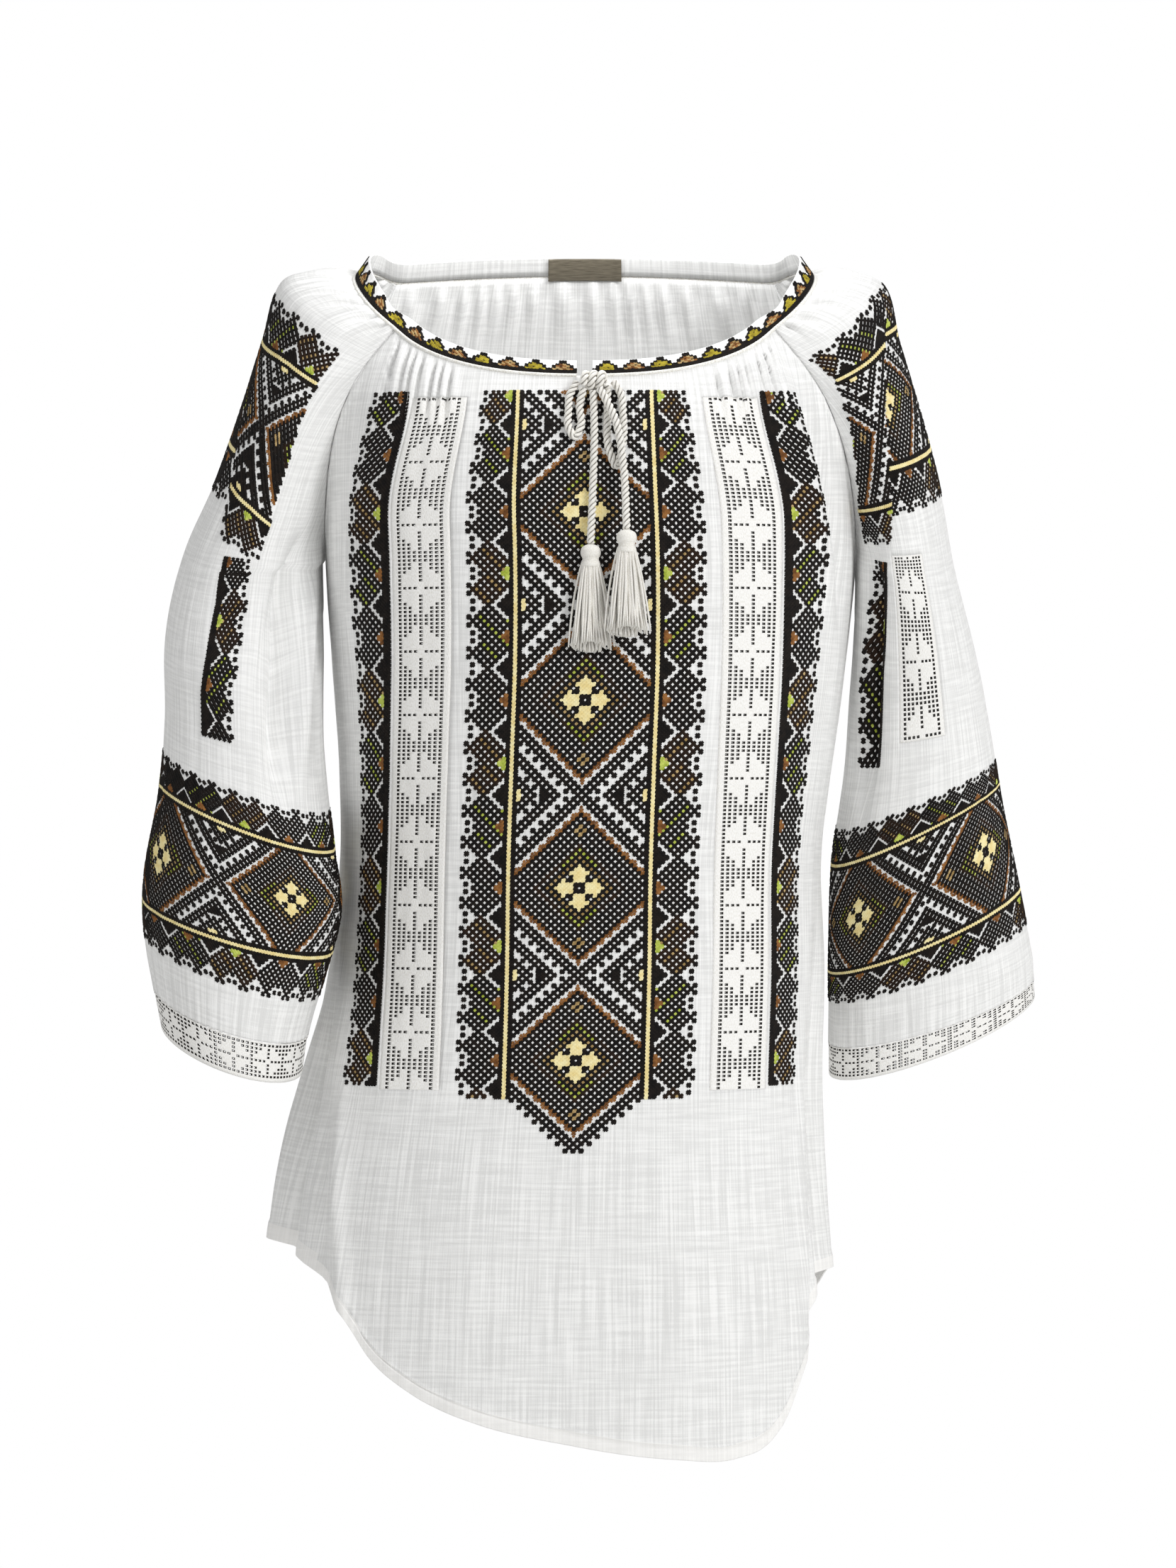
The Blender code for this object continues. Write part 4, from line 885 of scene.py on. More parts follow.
def sleeve_point(side, turn, along):
    """Point of a sleeve with its folds, gathers and ripples, pushed out along its normal."""
    creases = SLEEVE_LEFT_FOLDS if side > 0 else SLEEVE_RIGHT_FOLDS
    turn, along = same_shape(turn, along)

    def plain(a, b):
        return sleeve_plain(side, a, b)

    spread = spread_at(along)
    size = folds(creases, turn, along, 360.0) + gathers(SLEEVE_GATHERS, turn / spread, along)
    wave = ripples(np.sin(np.radians(turn)) * 0.12 + side, along)
    size = size + wave * ease(along / 0.03) * (1 - ease((along - CUFF_START + 0.02) / 0.02))
    count, depth, reach = CUFF_PLEATS
    above_cuff = along - CUFF_START
    pleat = depth * np.sin(np.radians(turn) * count + 1.5 * np.sin(np.radians(turn) * 5))
    pleat = pleat * ease((above_cuff + reach) / reach) * (1 - ease(above_cuff / 0.004))
    size = size + pleat
    free = ease((along - ARMPIT) / 0.05)
    size = size * (free + (1 - free) * ease((spread - np.abs(turn)) / 12.0))
    inside = np.clip(turn, -spread + 2.0, spread - 2.0)
    normal = side * outward(plain, inside, np.maximum(along, 0.004), 2.0, 0.004)
    return plain(turn, along) + normal * size[..., None]


def sleeve_normal(side, turn, along):
    """Unit normal of a sleeve with its folds, read a little inside its open edges."""
    turn, along = same_shape(turn, along)
    spread = spread_at(along)
    inside = np.where(along < ARMPIT, np.clip(turn, -spread + 3, spread - 3), turn)

    def surface(a, b):
        return sleeve_point(side, a, b)

    return side * outward(surface, inside, np.maximum(along, 0.005), 2.5, 0.003)


def sleeve_turns(base, along):
    """Turns of the grid's columns: squeezed to the section's reach above, as they are below."""
    spread = spread_at(along)
    squeezed = base * spread / 180
    beyond = (np.abs(base) - KEPT_TURN) * (spread - KEPT_TURN) / (180 - KEPT_TURN)
    far = np.sign(base) * (KEPT_TURN + beyond)
    exact = np.where(np.abs(base) <= KEPT_TURN, base, far)
    settled = ease((along - 0.155) / 0.045)
    return squeezed * (1 - settled) + exact * settled


def sleeve_uv(turn, along):
    """Places on the flat cloth of a sleeve: metres round and metres up."""
    return np.stack([turn * SLEEVE_ROUND + 0.22, 0.6 - along], axis=-1)


def sleeve_cloth(name, side):
    """A sleeve from neck to cuff, closed under the arm below the armpit."""
    first, last = SLEEVE_LACE_TURNS
    base = steps_between(-180, (first, 32), (last, 16), (70, 62), (180, 44))
    rows = steps_between(
        0.0, (0.060, 26), (SLEEVE_LACE_START, 32), (ARMPIT, 4), (SLEEVE_LACE_END, 24),
        (CUFF_START - 0.006, 30), (CUFF_START, 5),
    )
    row, column_turn = np.meshgrid(rows, base, indexing="ij")
    turn = sleeve_turns(column_turn, row)
    points = sleeve_point(side, turn, row)
    push = seam_ridge(points, BODY_SEAMS) * 0.8
    points = points + sleeve_normal(side, turn, row) * push[..., None]
    number = numbered(*row.shape)
    closed = rows >= ARMPIT - 1e-9
    number[closed, -1] = number[closed, 0]
    skip = np.zeros((len(rows) - 1, len(base) - 1), bool)
    if side > 0:
        lace_rows = (rows[:-1] > SLEEVE_LACE_START - 1e-6) & (rows[1:] < SLEEVE_LACE_END + 1e-6)
        lace_turns = (base[:-1] > first - 1e-6) & (base[1:] < last + 1e-6)
        skip = lace_rows[:, None] & lace_turns[None]
    faces = grid_faces(number, skip)
    if side < 0:
        faces = faces[:, ::-1]
    return add_mesh(name, points, faces, sleeve_uv(turn, row))


for side, word in SIDES:
    sleeve = sleeve_cloth("blouse_sleeve_" + word, side)
    thicken(sleeve, CLOTH)
    sleeve.data.materials.append(COTTON)
    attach(sleeve, "root")
    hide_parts("sleeve_" + word)


# Lace of the left sleeve and of both cuffs. The strip has the front's lace, and a cuff has the
# same lozenges lying sideways between two lines of holes, on a narrow solid edge at the bottom.
CUFF_REPEAT = 8
CUFF_REPEATS = 13
CUFF_HOLE = 0.66  # share of the pitch
CUFF_ROW = 0.00255
CUFF_ROW_HOLE = 0.00150
CUFF_ROWS = 9


def sleeve_lace():
    """The sleeve's strip of lace: the same holes, on the sleeve's own surface."""
    first, last = SLEEVE_LACE_TURNS
    across = strip_lines(0.0, (last - first) * SLEEVE_ROUND)
    rows, count = hole_lines(SLEEVE_LACE_START, SLEEVE_LACE_END, LACE_ROW, LACE_ROW_HOLE)
    along, aside = np.meshgrid(rows, across, indexing="ij")
    turn = first + aside / SLEEVE_ROUND
    points, out = sleeve_point(1, turn, along), sleeve_normal(1, turn, along)
    uv = sleeve_uv(turn, along)
    return lace_cloth("lace_sleeve_left_strip", points, out, strip_openings(count, 6), uv, 1)


def cuff_holes(across, along):
    """Whether a cuff's hole is open, by its steps from the stem of the lozenges and along it."""
    from_stem = np.abs(along - CUFF_ROWS // 2)
    from_middle = np.abs(across % CUFF_REPEAT - CUFF_REPEAT // 2)
    reach = np.array([3, 0, 1, 2, CUFF_REPEAT])[from_stem]
    rung = (from_middle == CUFF_REPEAT // 2) & (from_stem >= 1)
    return (from_middle <= reach) | rung


def cuff_band(name, side):
    """A lace cuff round a sleeve's mouth, closed under the arm."""
    round_cuff = CUFF_REPEAT * CUFF_REPEATS
    base = np.linspace(-180, 180, round_cuff + 1)
    turns = np.stack([base[:-1], base[:-1] + CUFF_HOLE * 360 / round_cuff], axis=1).ravel()
    turns = np.concatenate([turns, [180.0]])
    rows, count = hole_lines(CUFF_START + 0.0004, CUFF_END - 0.0019, CUFF_ROW, CUFF_ROW_HOLE)
    rows = np.concatenate([rows, [CUFF_END]])
    along, turn = np.meshgrid(rows, turns, indexing="ij")
    holes = np.zeros((len(rows) - 1, len(turns) - 1), bool)
    hole, row = np.meshgrid(np.arange(round_cuff), np.arange(count))
    holes[1::2, 0::2][:count] = cuff_holes(hole, row)
    points, out = sleeve_point(side, turn, along), sleeve_normal(side, turn, along)
    return lace_cloth(name, points, out, holes, sleeve_uv(turn, along), side, closed=True)


sleeve_strip = sleeve_lace()
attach(sleeve_strip, "root")
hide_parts("lace_sleeve_left")
for side, word in SIDES:
    cuff = cuff_band("lace_cuff_" + word, side)
    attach(cuff, "root")
    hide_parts("cuff_" + word)


# Neck band. A doubled strip of the cotton, folded over the gathers, with its fold on the neck edge
# and a thin white piping in its lower seam. It is open for the drawstring at the centre front.
BAND_WIDTH = 0.0125
BAND_WALL = 0.0014
BAND_LIFT = 0.0016
BAND_SLIT = 0.0050
BAND_SAMPLES = 420
PIPING_RADIUS = 0.0011


def neck_line(samples):
    """The neck seam as evenly spaced points, round from one end of the front slit to the other."""
    share = np.linspace(0, SEAM_POINTS[0][1], 40)
    front_left = body_plain(share, neck_down(share))
    turn = np.linspace(-88, 88, 40)
    over_left = sleeve_plain(1, turn, np.zeros(40))
    behind = np.linspace(2 - SEAM_POINTS[0][3], 2 + SEAM_POINTS[0][3], 60)
    behind_points = body_plain(behind, neck_down(behind))
    over_right = sleeve_plain(-1, turn[::-1], np.zeros(40))
    front_right = body_plain(-share[::-1], neck_down(-share[::-1]))
    path = np.concatenate([front_left, over_left, behind_points, over_right, front_right])
    along = distances(path)
    even = np.linspace(0, along[-1], 400)
    path = read_path(even, along, path)
    for _ in range(12):
        path[1:-1] = (path[:-2] + 2 * path[1:-1] + path[2:]) / 4
    return read_path(np.linspace(BAND_SLIT, along[-1] - BAND_SLIT, samples), even, path)


def band_directions(path):
    """From the neck seam to the band's upper edge, inward and up and steeper behind, and out."""
    ahead = np.gradient(path, axis=0)
    inward = np.stack([-ahead[:, 1], ahead[:, 0], 0 * ahead[:, 0]], axis=1)
    inward /= np.linalg.norm(inward, axis=1, keepdims=True)
    steep = ease((path[:, 1] + 0.02) / 0.07)
    lie = 0.69 - 0.23 * steep  # how much of the way goes inward; the rest goes up
    rise = np.sqrt(1 - lie**2)
    across = inward * lie[:, None] + np.array([0, 0, 1.0]) * rise[:, None]
    out = np.cross(ahead, across)
    return across, out / np.linalg.norm(out, axis=1, keepdims=True)


def path_length(path):
    """Length of a path: the sum of its steps."""
    return float(np.sum(np.linalg.norm(np.diff(path, axis=0), axis=1)))


BAND_PATH = neck_line(BAND_SAMPLES)
BAND_ACROSS, BAND_OUT = band_directions(BAND_PATH)
BAND_LENGTH = path_length(BAND_PATH)


def on_band(steps, values):
    """Values that belong to the points of the band's path, read at steps from its start."""
    return read_path(steps, np.arange(len(BAND_PATH)), values)


def band_place(along, height):
    """Point on the band's outer face, by distance from the slit and height over its lower edge."""
    steps = along / BAND_LENGTH * (len(BAND_PATH) - 1)
    place = on_band(steps, BAND_PATH + BAND_ACROSS * BAND_LIFT)
    return place + on_band(steps, BAND_ACROSS) * np.asarray(height)[..., None]


def band_cloth():
    """The band: its section is a flat loop, rounded over the fold, carried round the neck."""
    half = BAND_WALL / 2
    fold = np.linspace(90, -90, 7)[1:-1]
    top = BAND_WIDTH - half
    section = [(h, 0.0) for h in (0.0, 0.0004, 0.0040, 0.0080, top)]
    for angle in np.radians(fold):
        section.append((top + half * math.cos(angle), half * math.sin(angle) - half))
    section += [(h, -BAND_WALL) for h in (top, 0.0080, 0.0040, 0.0)]
    section = np.array(section)
    base = BAND_PATH + BAND_ACROSS * BAND_LIFT
    points = base + BAND_ACROSS * section[:, :1, None] + BAND_OUT * section[:, 1:, None]
    points = np.concatenate([points, points[:1]])
    number = numbered(*points.shape[:2])
    number[-1] = number[0]
    faces = grid_faces(number)[:, ::-1]
    along = np.linspace(0, BAND_LENGTH, len(BAND_PATH)) / 2
    depth = np.append(distances(section), 0.03)
    uv = np.stack(np.meshgrid(along, depth + 0.9), axis=-1)
    return add_mesh("neckband_cotton", points, faces, uv)


def round_bar(name, path, radii, sides, shape=None):
    """A closed bar along a path, whose frame turns as little as it can.

    radii is one radius or one for each point of the path. shape(angle, ring) scales the radius,
    for plies or wrapping that show on the surface.
    """
    ahead = np.gradient(path, axis=0)
    ahead /= np.linalg.norm(ahead, axis=1, keepdims=True)
    across = np.cross(ahead[0], [0.31, 0.95, 0.05])
    frames = []
    for direction in ahead:
        across = across - direction * np.dot(across, direction)
        across = across / np.linalg.norm(across)
        frames.append((across, np.cross(direction, across)))
    frames = np.array(frames)
    angle = np.arange(sides) * 2 * math.pi / sides
    ring, around = np.meshgrid(np.arange(len(path)), angle, indexing="ij")
    relief = shape(around, ring) if shape else np.ones(around.shape)
    size = np.broadcast_to(radii, len(path))[:, None] * relief
    c = (np.cos(around) * size)[..., None]
    s = (np.sin(around) * size)[..., None]
    points = path[:, None] + c * frames[:, None, 0] + s * frames[:, None, 1]
    closing = np.concatenate([points.reshape(-1, 3), path[:1], path[-1:]])
    number = numbered(len(path), sides)
    number = np.concatenate([number, number[:, :1]], axis=1)
    faces = grid_faces(number)[:, ::-1].tolist()
    first, last = len(closing) - 2, len(closing) - 1
    faces += [(first, int(number[0, k + 1]), int(number[0, k])) for k in range(sides)]
    faces += [(last, int(number[-1, k]), int(number[-1, k + 1])) for k in range(sides)]
    thing = new_thing(name, closing.tolist(), faces)
    give_relief(thing.data, np.concatenate([relief.ravel(), [1.0, 1.0]]))
    return thing


def give_relief(mesh, values):
    """Store how far each point stands up in its yarn, from 0.5 in a groove to 1 on top; the yarn's
    material paints shade where it is low.
    """
    layer = mesh.attributes.new("relief", "FLOAT", "POINT")
    layer.data.foreach_set("value", np.asarray(values, np.float32))


def plain_yarn(name, light, shade, groove, scale):
    """Cotton yarn on object coordinates, with painted shade in its grooves: used on cords and
    pipings.
    """
    material, tree = new_material(name)
    place = node(tree, "ShaderNodeTexCoord").outputs["Object"]
    sockets = {"Vector": place, "Scale": scale, "Detail": 3.0}
    fibre = node(tree, "ShaderNodeTexNoise", sockets).outputs[0]
    top = node(tree, "ShaderNodeValToRGB", {"Fac": fibre}, [(0.3, shade), (0.6, light)])
    relief = node(tree, "ShaderNodeAttribute", attribute_name="relief").outputs["Fac"]
    # Low relief takes the groove colour: painted shade.
    depth = node(tree, "ShaderNodeMapRange", {0: relief, 1: 0.56, 2: 0.80})
    sockets = {0: depth.outputs[0], 6: linear(groove), 7: top.outputs[0]}
    colour = node(tree, "ShaderNodeMix", sockets, data_type="RGBA")
    surface(tree, colour.outputs[2], fibre, (0.4, 0.0006), {
        "Roughness": 0.7,
        "Specular IOR Level": 0.3,
        "Sheen Weight": 0.3,
    })
    return material


# The third colour is painted shade in the grooves.
PIPING_YARN = plain_yarn("piping_cotton_corded", "#FBFAF6", "#DEDACF", "#B9B4A8", 900.0)
band = band_cloth()
band.data.materials.append(COTTON)
piping_path = BAND_PATH + BAND_OUT * 0.0002
piping = round_bar("neckband_piping", piping_path, PIPING_RADIUS, 8)
piping.data.materials.append(PIPING_YARN)
for piece in (band, piping):
    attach(piece, "root")
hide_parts("neckband")


# Label. A bare woven tape, folded under at both ends, tacked inside the back of the neck band.
LABEL_WIDTH = 0.046
LABEL_HEIGHT = 0.0140
LABEL_WALL = 0.0008
LABEL_COLUMNS = 47
LABEL_ROWS = 18


def label_tape():
    """The tape: a slightly bowed strip that follows the inside of the band, with folded ends."""
    middle = (len(BAND_PATH) - 1) / 2
    width = BAND_LENGTH / (len(BAND_PATH) - 1)
    reach = np.linspace(-0.5, 0.5, LABEL_COLUMNS)
    steps = reach * LABEL_WIDTH / width + middle
    top = BAND_WIDTH + BAND_LIFT - 0.0006
    heights = np.linspace(top, BAND_WIDTH - LABEL_HEIGHT, LABEL_ROWS)[::-1]
    folded = 0.0004 * (1 - ease((0.5 - np.abs(reach)) * LABEL_WIDTH / 0.003 - 0.6))
    rows = []
    for height in heights:
        bow = 0.0004 * math.sin(math.pi * (height - heights[0]) / (heights[-1] - heights[0]))
        place = BAND_PATH + BAND_ACROSS * height - BAND_OUT * (BAND_WALL + 0.0010)
        rows.append(on_band(steps, place) - on_band(steps, BAND_OUT) * (bow + folded)[:, None])
    points = np.stack(rows)
    uv = np.stack(np.meshgrid(reach * LABEL_WIDTH + 0.5, heights + 0.5), axis=-1)
    return add_mesh("label_tape_bare", points, grid_faces(numbered(*points.shape[:2])), uv)


def tape(name, light, shade):
    """Woven polyester tape in satin: a soft shine on a taupe grey.

    Its cross ribs are drawn 0.7 mm apart, coarser than woven ones, so that they show.
    """
    material, tree = new_material(name)
    uv = node(tree, "ShaderNodeUVMap", uv_map="cloth").outputs["UV"]
    ribs = node(tree, "ShaderNodeMapping", {"Vector": uv, "Scale": (120.0, 1500.0, 1.0)})
    thread = node(tree, "ShaderNodeTexNoise", {"Vector": ribs.outputs[0], "Scale": 1.0}).outputs[0]
    colour = node(tree, "ShaderNodeValToRGB", {"Fac": thread}, [(0.3, shade), (0.65, light)])
    surface(tree, colour.outputs[0], thread, (0.4, 0.0004), {
        "Roughness": 0.45,
        "Specular IOR Level": 0.5,
        "Sheen Weight": 0.2,
    })
    return material


label = label_tape()
label.data.materials.append(tape("label_tape_woven", "#7C7463", "#5B5446"))
thicken(label, LABEL_WALL * 0.6)
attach(label, "root")
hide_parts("label")


# Cross-stitch of the front. Thick black and brown cotton over the counted threads: a centre column
# of large rhombs between barred borders, and an outer column beyond each strip of lace.
CELL = 0.00239
CHART_ROWS = [(0, 0.0764), (33, 0.1495), (81, 0.2633), (129, 0.3766), (177, 0.4805), (210, 0.5520)]
REPEAT = 48
FIRST_CENTRE = 33  # row of the first rhomb's middle
BORDER_REPEAT = 16
BORDER_START = 20  # steps out from the middle of the column to its border
LAST_ROW = 187
LAST_CROSSING = 201
COLUMN_CELLS = np.arange(-30, 31)  # across a whole column, from its middle
BORDER_CELLS = np.arange(13)  # across a bar and its border
BAR_CELLS = 2
STRAND_WIDTHS = (0.0, 0.58, 0.66, 0.44, 0.42)  # in diagonals of a cell, for each fill below
THREAD_COLOURS = {
    "black": ("#1C1612", "#0B0807"),
    "brown": ("#2B1B0E", "#180F08"),
    "rust": ("#9C6A38", "#6A4322"),
    "tan": ("#C9AE7C", "#9C8050"),
    "yellow_green": ("#CDD86C", "#A3B23F"),
    "mustard": ("#C2B23C", "#8C7C22"),
    "gold": ("#FBF0BC", "#EFDB9A"),
}
THREADS = tuple(THREAD_COLOURS)
EMPTY, LATTICE, SOLID, SPECK, THIN = range(5)


def chart(size):
    """An empty chart: a thread for each cell, and whether it is left, crossed, filled or dotted."""
    return np.zeros(size, int), np.zeros(size, int)


def lay(chart_pair, where, thread, fill):
    """Work every cell of a mask in one thread."""
    threads, fills = chart_pair
    threads[where] = THREADS.index(thread)
    fills[where] = fill


def rhomb_chart(x, row):
    """The column of rhombs, from each cell's place across and down.

    u is the distance across, y that down from the crossing between two rhombs, and s is u less y:
    under -4 in a rhomb, about 0 on the crossing diagonals, over 5 in the side triangles. Stitches
    fill every other cell, and a white cross shows wherever one of those is left out.
    """
    made = chart(x.shape)
    u = np.abs(x)
    centre = np.abs((row - FIRST_CENTRE + REPEAT // 2) % REPEAT - REPEAT // 2)
    y = REPEAT // 2 - centre
    s = u - y
    odd = (u + y) % 2 == 1
    inside = u <= 16
    lay(made, inside & odd & (s <= -5), "black", LATTICE)
    lay(made, inside & odd & (s <= -5) & ((u + centre) % 12 == 11), "brown", LATTICE)
    lay(made, inside & (s == -4), "rust", THIN)
    lay(made, inside & (s == -3) & (u % 2 == 0), "rust", SPECK)
    lay(made, inside & odd & (np.abs(s) == 1), "black", LATTICE)
    lay(made, inside & (s == 3) & (u % 2 == 0), "black", LATTICE)
    gap = (u == y + 10) & np.isin(u, (11, 13, 15, 16))
    lay(made, inside & ~odd & (s >= 6) & ~gap, "black", LATTICE)
    lay(made, ((u == 9) | (u == 10)) & (y <= u - 9), "black", SOLID)
    lay(made, (u == 16) & (y <= 1), "gold", SOLID)
    hole = inside & ~odd & (s <= -6)
    lay(made, hole & (u + centre == 10) & (centre > u), "yellow_green", SPECK)
    lay(made, hole & (u + centre == 8), "tan", SPECK)
    lay(made, hole & (u + np.abs(centre - 15) == 1), "tan", LATTICE)
    far, near = np.maximum(u, centre), np.minimum(u, centre)
    lay(made, (far == 1) | (far == 2) & (near == 2), "black", SOLID)
    reach = np.array([-1, -1, 1, 1, 2, 0])[np.minimum(far, 5)]
    petal = (near <= reach) & (far <= 5)
    lay(made, petal, "gold", SOLID)
    lay(made, (far + near == 6) & (far >= 5), "gold", SPECK)
    return made


def border_chart(k, row, first=0):
    """A border of paired rhombs beside a bar, from the steps out from the bar and the place down.

    t is the distance down from a pair's middle, 0 to 8. Black wedges grow on the bar between the
    pairs, hooked teeth stand on the outer side, and the pairs differ by turns in their colours.
    """
    made = chart(k.shape)
    place = row - FIRST_CENTRE + BORDER_REPEAT // 2
    t = np.abs(place % BORDER_REPEAT - BORDER_REPEAT // 2)
    kind = (place // BORDER_REPEAT + first) % 3
    odd = (k + t) % 2 == 1
    lobe = np.abs(k - 5) + np.abs(t - 4) <= 4
    inside = (k >= 0) & (lobe | (k <= 5) & (t <= 4))
    lay(made, inside & odd, "black", LATTICE)
    lay(made, inside & odd & (kind == 1), "brown", LATTICE)
    dots = inside & ~odd & ((k + place) % 6 == 0)
    lay(made, dots & (kind == 1), "tan", SPECK)
    lay(made, dots & (kind == 2), "yellow_green", SPECK)
    tooth = (k == 10) & (np.abs(t - 4) == 1) | (k == 9) & (np.abs(t - 4) == 3) | (k == 7) & (t == 0)
    lay(made, tooth, "black", LATTICE)
    lay(made, (k >= 0) & (t >= 6) & (k <= t - 6), "black", SOLID)
    mark = (k >= 0) & (k + t <= 1)
    lay(made, mark, "rust", SOLID)
    lay(made, mark & (kind == 1), "yellow_green", SOLID)
    return made


def column_chart(x, row):
    """The whole centre column: rhombs, then on each side bar, gold line, bar and border."""
    u = np.abs(x)
    threads, fills = rhomb_chart(x, row)
    outer_threads, outer_fills = border_chart(u - BORDER_START, row)
    outside = u >= BORDER_START
    made = (np.where(outside, outer_threads, threads), np.where(outside, outer_fills, fills))
    lay(made, (u == 17) | (u == 19), "black", SOLID)
    lay(made, u == 18, "gold", SOLID)
    return made


def barred_border(k, row, first):
    """A border alone, with its bar beside it."""
    made = border_chart(k - BAR_CELLS, row, first)
    lay(made, k < BAR_CELLS, "black", SOLID)
    return made


def point_ends(x, row, made):
    """Below the last row keep only the point: what lies inside the crossing, and its teeth."""
    threads, fills = made
    beyond = np.abs(x) - (LAST_CROSSING - row)
    kept = (beyond <= 1) | (beyond == 3) & (x % 2 == 0) & (np.abs(x) > 1)
    fills[(row > LAST_ROW) & ~kept] = EMPTY
    return threads, fills


def stitches(name, place, columns, rows, made, facing):
    """Cross-stitches for the worked cells of a chart, as one mesh with a material per thread.

    place(column, row) gives the cloth's points at cell corners. Each stitch is two crossing
    strands, each a low roof over its diagonal, and the second lies on the first.
    """
    threads, fills = made
    worked = fills > EMPTY
    c, r = columns[worked].astype(float), rows[worked].astype(float)
    thread, fill = threads[worked], fills[worked]
    corners = place(np.concatenate([c, c + 1, c + 1, c]), np.concatenate([r, r, r + 1, r + 1]))
    corners = corners.reshape(4, -1, 3)
    normal = facing * np.cross(corners[2] - corners[0], corners[3] - corners[1])
    normal /= np.maximum(np.linalg.norm(normal, axis=1, keepdims=True), 1e-12)
    uneven = 1 + 0.06 * np.sin(c * 12.9 + r * 78.2)
    strand = np.array(STRAND_WIDTHS)[fill] * uneven
    cut = np.where(fill == SPECK, 0.24, -0.03)[:, None]
    rise = np.where(fill == SPECK, 0.00022, 0.00052)[:, None]
    points = []
    for layer, (a, b) in enumerate(((corners[0], corners[2]), (corners[1], corners[3]))):
        ahead = b - a
        side = np.cross(normal, ahead) * strand[:, None] / 2
        low = normal * 0.00012
        high = normal * (rise + 0.00014 * layer)
        for end in (a + ahead * cut, b - ahead * cut):
            points += [end + side + low, end + high, end - side + low]
    points = np.stack(points, axis=1)
    quad = np.array([[0, 1, 4, 3], [1, 2, 5, 4], [6, 7, 10, 9], [7, 8, 11, 10]])
    faces = (np.arange(len(c))[:, None, None] * 12 + quad).reshape(-1, 4)
    thing = new_thing(name, points.reshape(-1, 3).tolist(), faces.tolist(), smooth=False)
    thing.data.polygons.foreach_set("material_index", np.repeat(thread, 4))
    for word in THREADS:
        thing.data.materials.append(THREAD_MATERIALS[word])
    return thing


def thread_yarn(name, light, shade):
    """Stranded cotton in a cross-stitch: softly shiny, a little uneven in depth of dye."""
    material, tree = new_material(name)
    place = node(tree, "ShaderNodeTexCoord").outputs["Object"]
    dye = node(tree, "ShaderNodeTexNoise", {"Vector": place, "Scale": 260.0, "Detail": 2.0})
    fibre = node(tree, "ShaderNodeTexNoise", {"Vector": place, "Scale": 2600.0, "Detail": 1.0})
    sockets = {"Fac": dye.outputs[0]}
    colour = node(tree, "ShaderNodeValToRGB", sockets, [(0.35, shade), (0.65, light)])
    surface(tree, colour.outputs[0], fibre.outputs[0], (0.3, 0.0003), {
        "Roughness": 0.68,
        "Specular IOR Level": 0.18,
    })
    return material


THREAD_MATERIALS = {
    word: thread_yarn("thread_cotton_" + word, *THREAD_COLOURS[word]) for word in THREADS
}


def row_down(r):
    """Depth of a row of the chart: the rows close up a little where the cloth hangs away."""
    rows, downs = np.array(CHART_ROWS, float).T
    return through(rows, downs, r)


def front_cell(c, r):
    """Point of the front at a corner of the centre column's cells."""
    return body_point(share_at((c - 0.5) * CELL, row_down(r)), row_down(r))


cell_x, cell_row = np.meshgrid(COLUMN_CELLS, np.arange(206))
made = point_ends(cell_x, cell_row, column_chart(cell_x, cell_row))
centre_stitches = stitches("embroidery_front_centre", front_cell, cell_x, cell_row, made, -1)

OUTER_START = 0.1262
OUTER_CELLS = [(0, 0.0024), (60, 0.0026), (110, 0.0021), (185, 0.0020)]  # widths by row
OUTER_LAST = 185


def outer_cell(side, k, r):
    """Point of the front at a corner of an outer column's cells, outwards from the lace."""
    rows, wide = np.array(OUTER_CELLS).T
    distance = side * (OUTER_START + k * np.interp(r, rows, wide))
    return body_point(share_at(distance, row_down(r)), row_down(r))


cell_k, cell_row = np.meshgrid(BORDER_CELLS, np.arange(OUTER_LAST))
outer = barred_border(cell_k, cell_row, 1)
pieces = [centre_stitches]
for side, word in SIDES:
    name = "embroidery_front_outer_" + word
    place = partial(outer_cell, side)
    pieces.append(stitches(name, place, cell_k, cell_row, outer, -side))
for piece in pieces:
    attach(piece, "root")


# Cross-stitch of the sleeves. The same column laid round the arm, once below the shoulder with a
# step at the seam in the middle of the sleeve, and once above the cuff, with a border between.
ROUND_CELLS = 192  # cells that close round a sleeve
SLEEVE_STEP = 360 / ROUND_CELLS  # degrees in a cell
SLEEVE_LINE = 18.0  # cells from the middle of a band to its gold lines
# The lower band: the middle of its way along, how much it slants, and its half between the lines.
LOWER_BAND = {-1: (0.4075, 0.0035, 0.0335), 1: (0.3980, 0.0095, 0.0295)}
LOWER_CENTRE = {-1: -33.0, 1: -46.0}
UPPER_STEP = 2.4
# Where the upper band's two gold lines run on each side of the seam: turn, upper, lower.
UPPER_LINES = {
    (-1, "front"): [
        (-97, 0.0990, 0.184), (-73, 0.0925, 0.175), (-54, 0.0875, 0.170),
        (-42, 0.0860, 0.166), (8, 0.0850, 0.158),
    ],
    (-1, "outer"): [
        (-60, 0.0700, 0.150), (-6, 0.0690, 0.148), (28, 0.0690, 0.149), (120, 0.0700, 0.150),
    ],
    (1, "front"): [
        (-146, 0.0990, 0.172), (-100, 0.0920, 0.169), (-89, 0.0900, 0.168),
        (-59, 0.0840, 0.165), (-30, 0.0770, 0.162),
    ],
    (1, "outer"): [
        (-110, 0.0720, 0.149), (-38, 0.0735, 0.150), (-4, 0.0760, 0.151),
        (60, 0.0780, 0.152), (120, 0.0780, 0.152),
    ],
}
UPPER_CENTRE = {  # turn of the first rhomb's middle
    (-1, "front"): 3.6,
    (-1, "outer"): -21.0,
    (1, "front"): -22.4,
    (1, "outer"): -66.0,
}
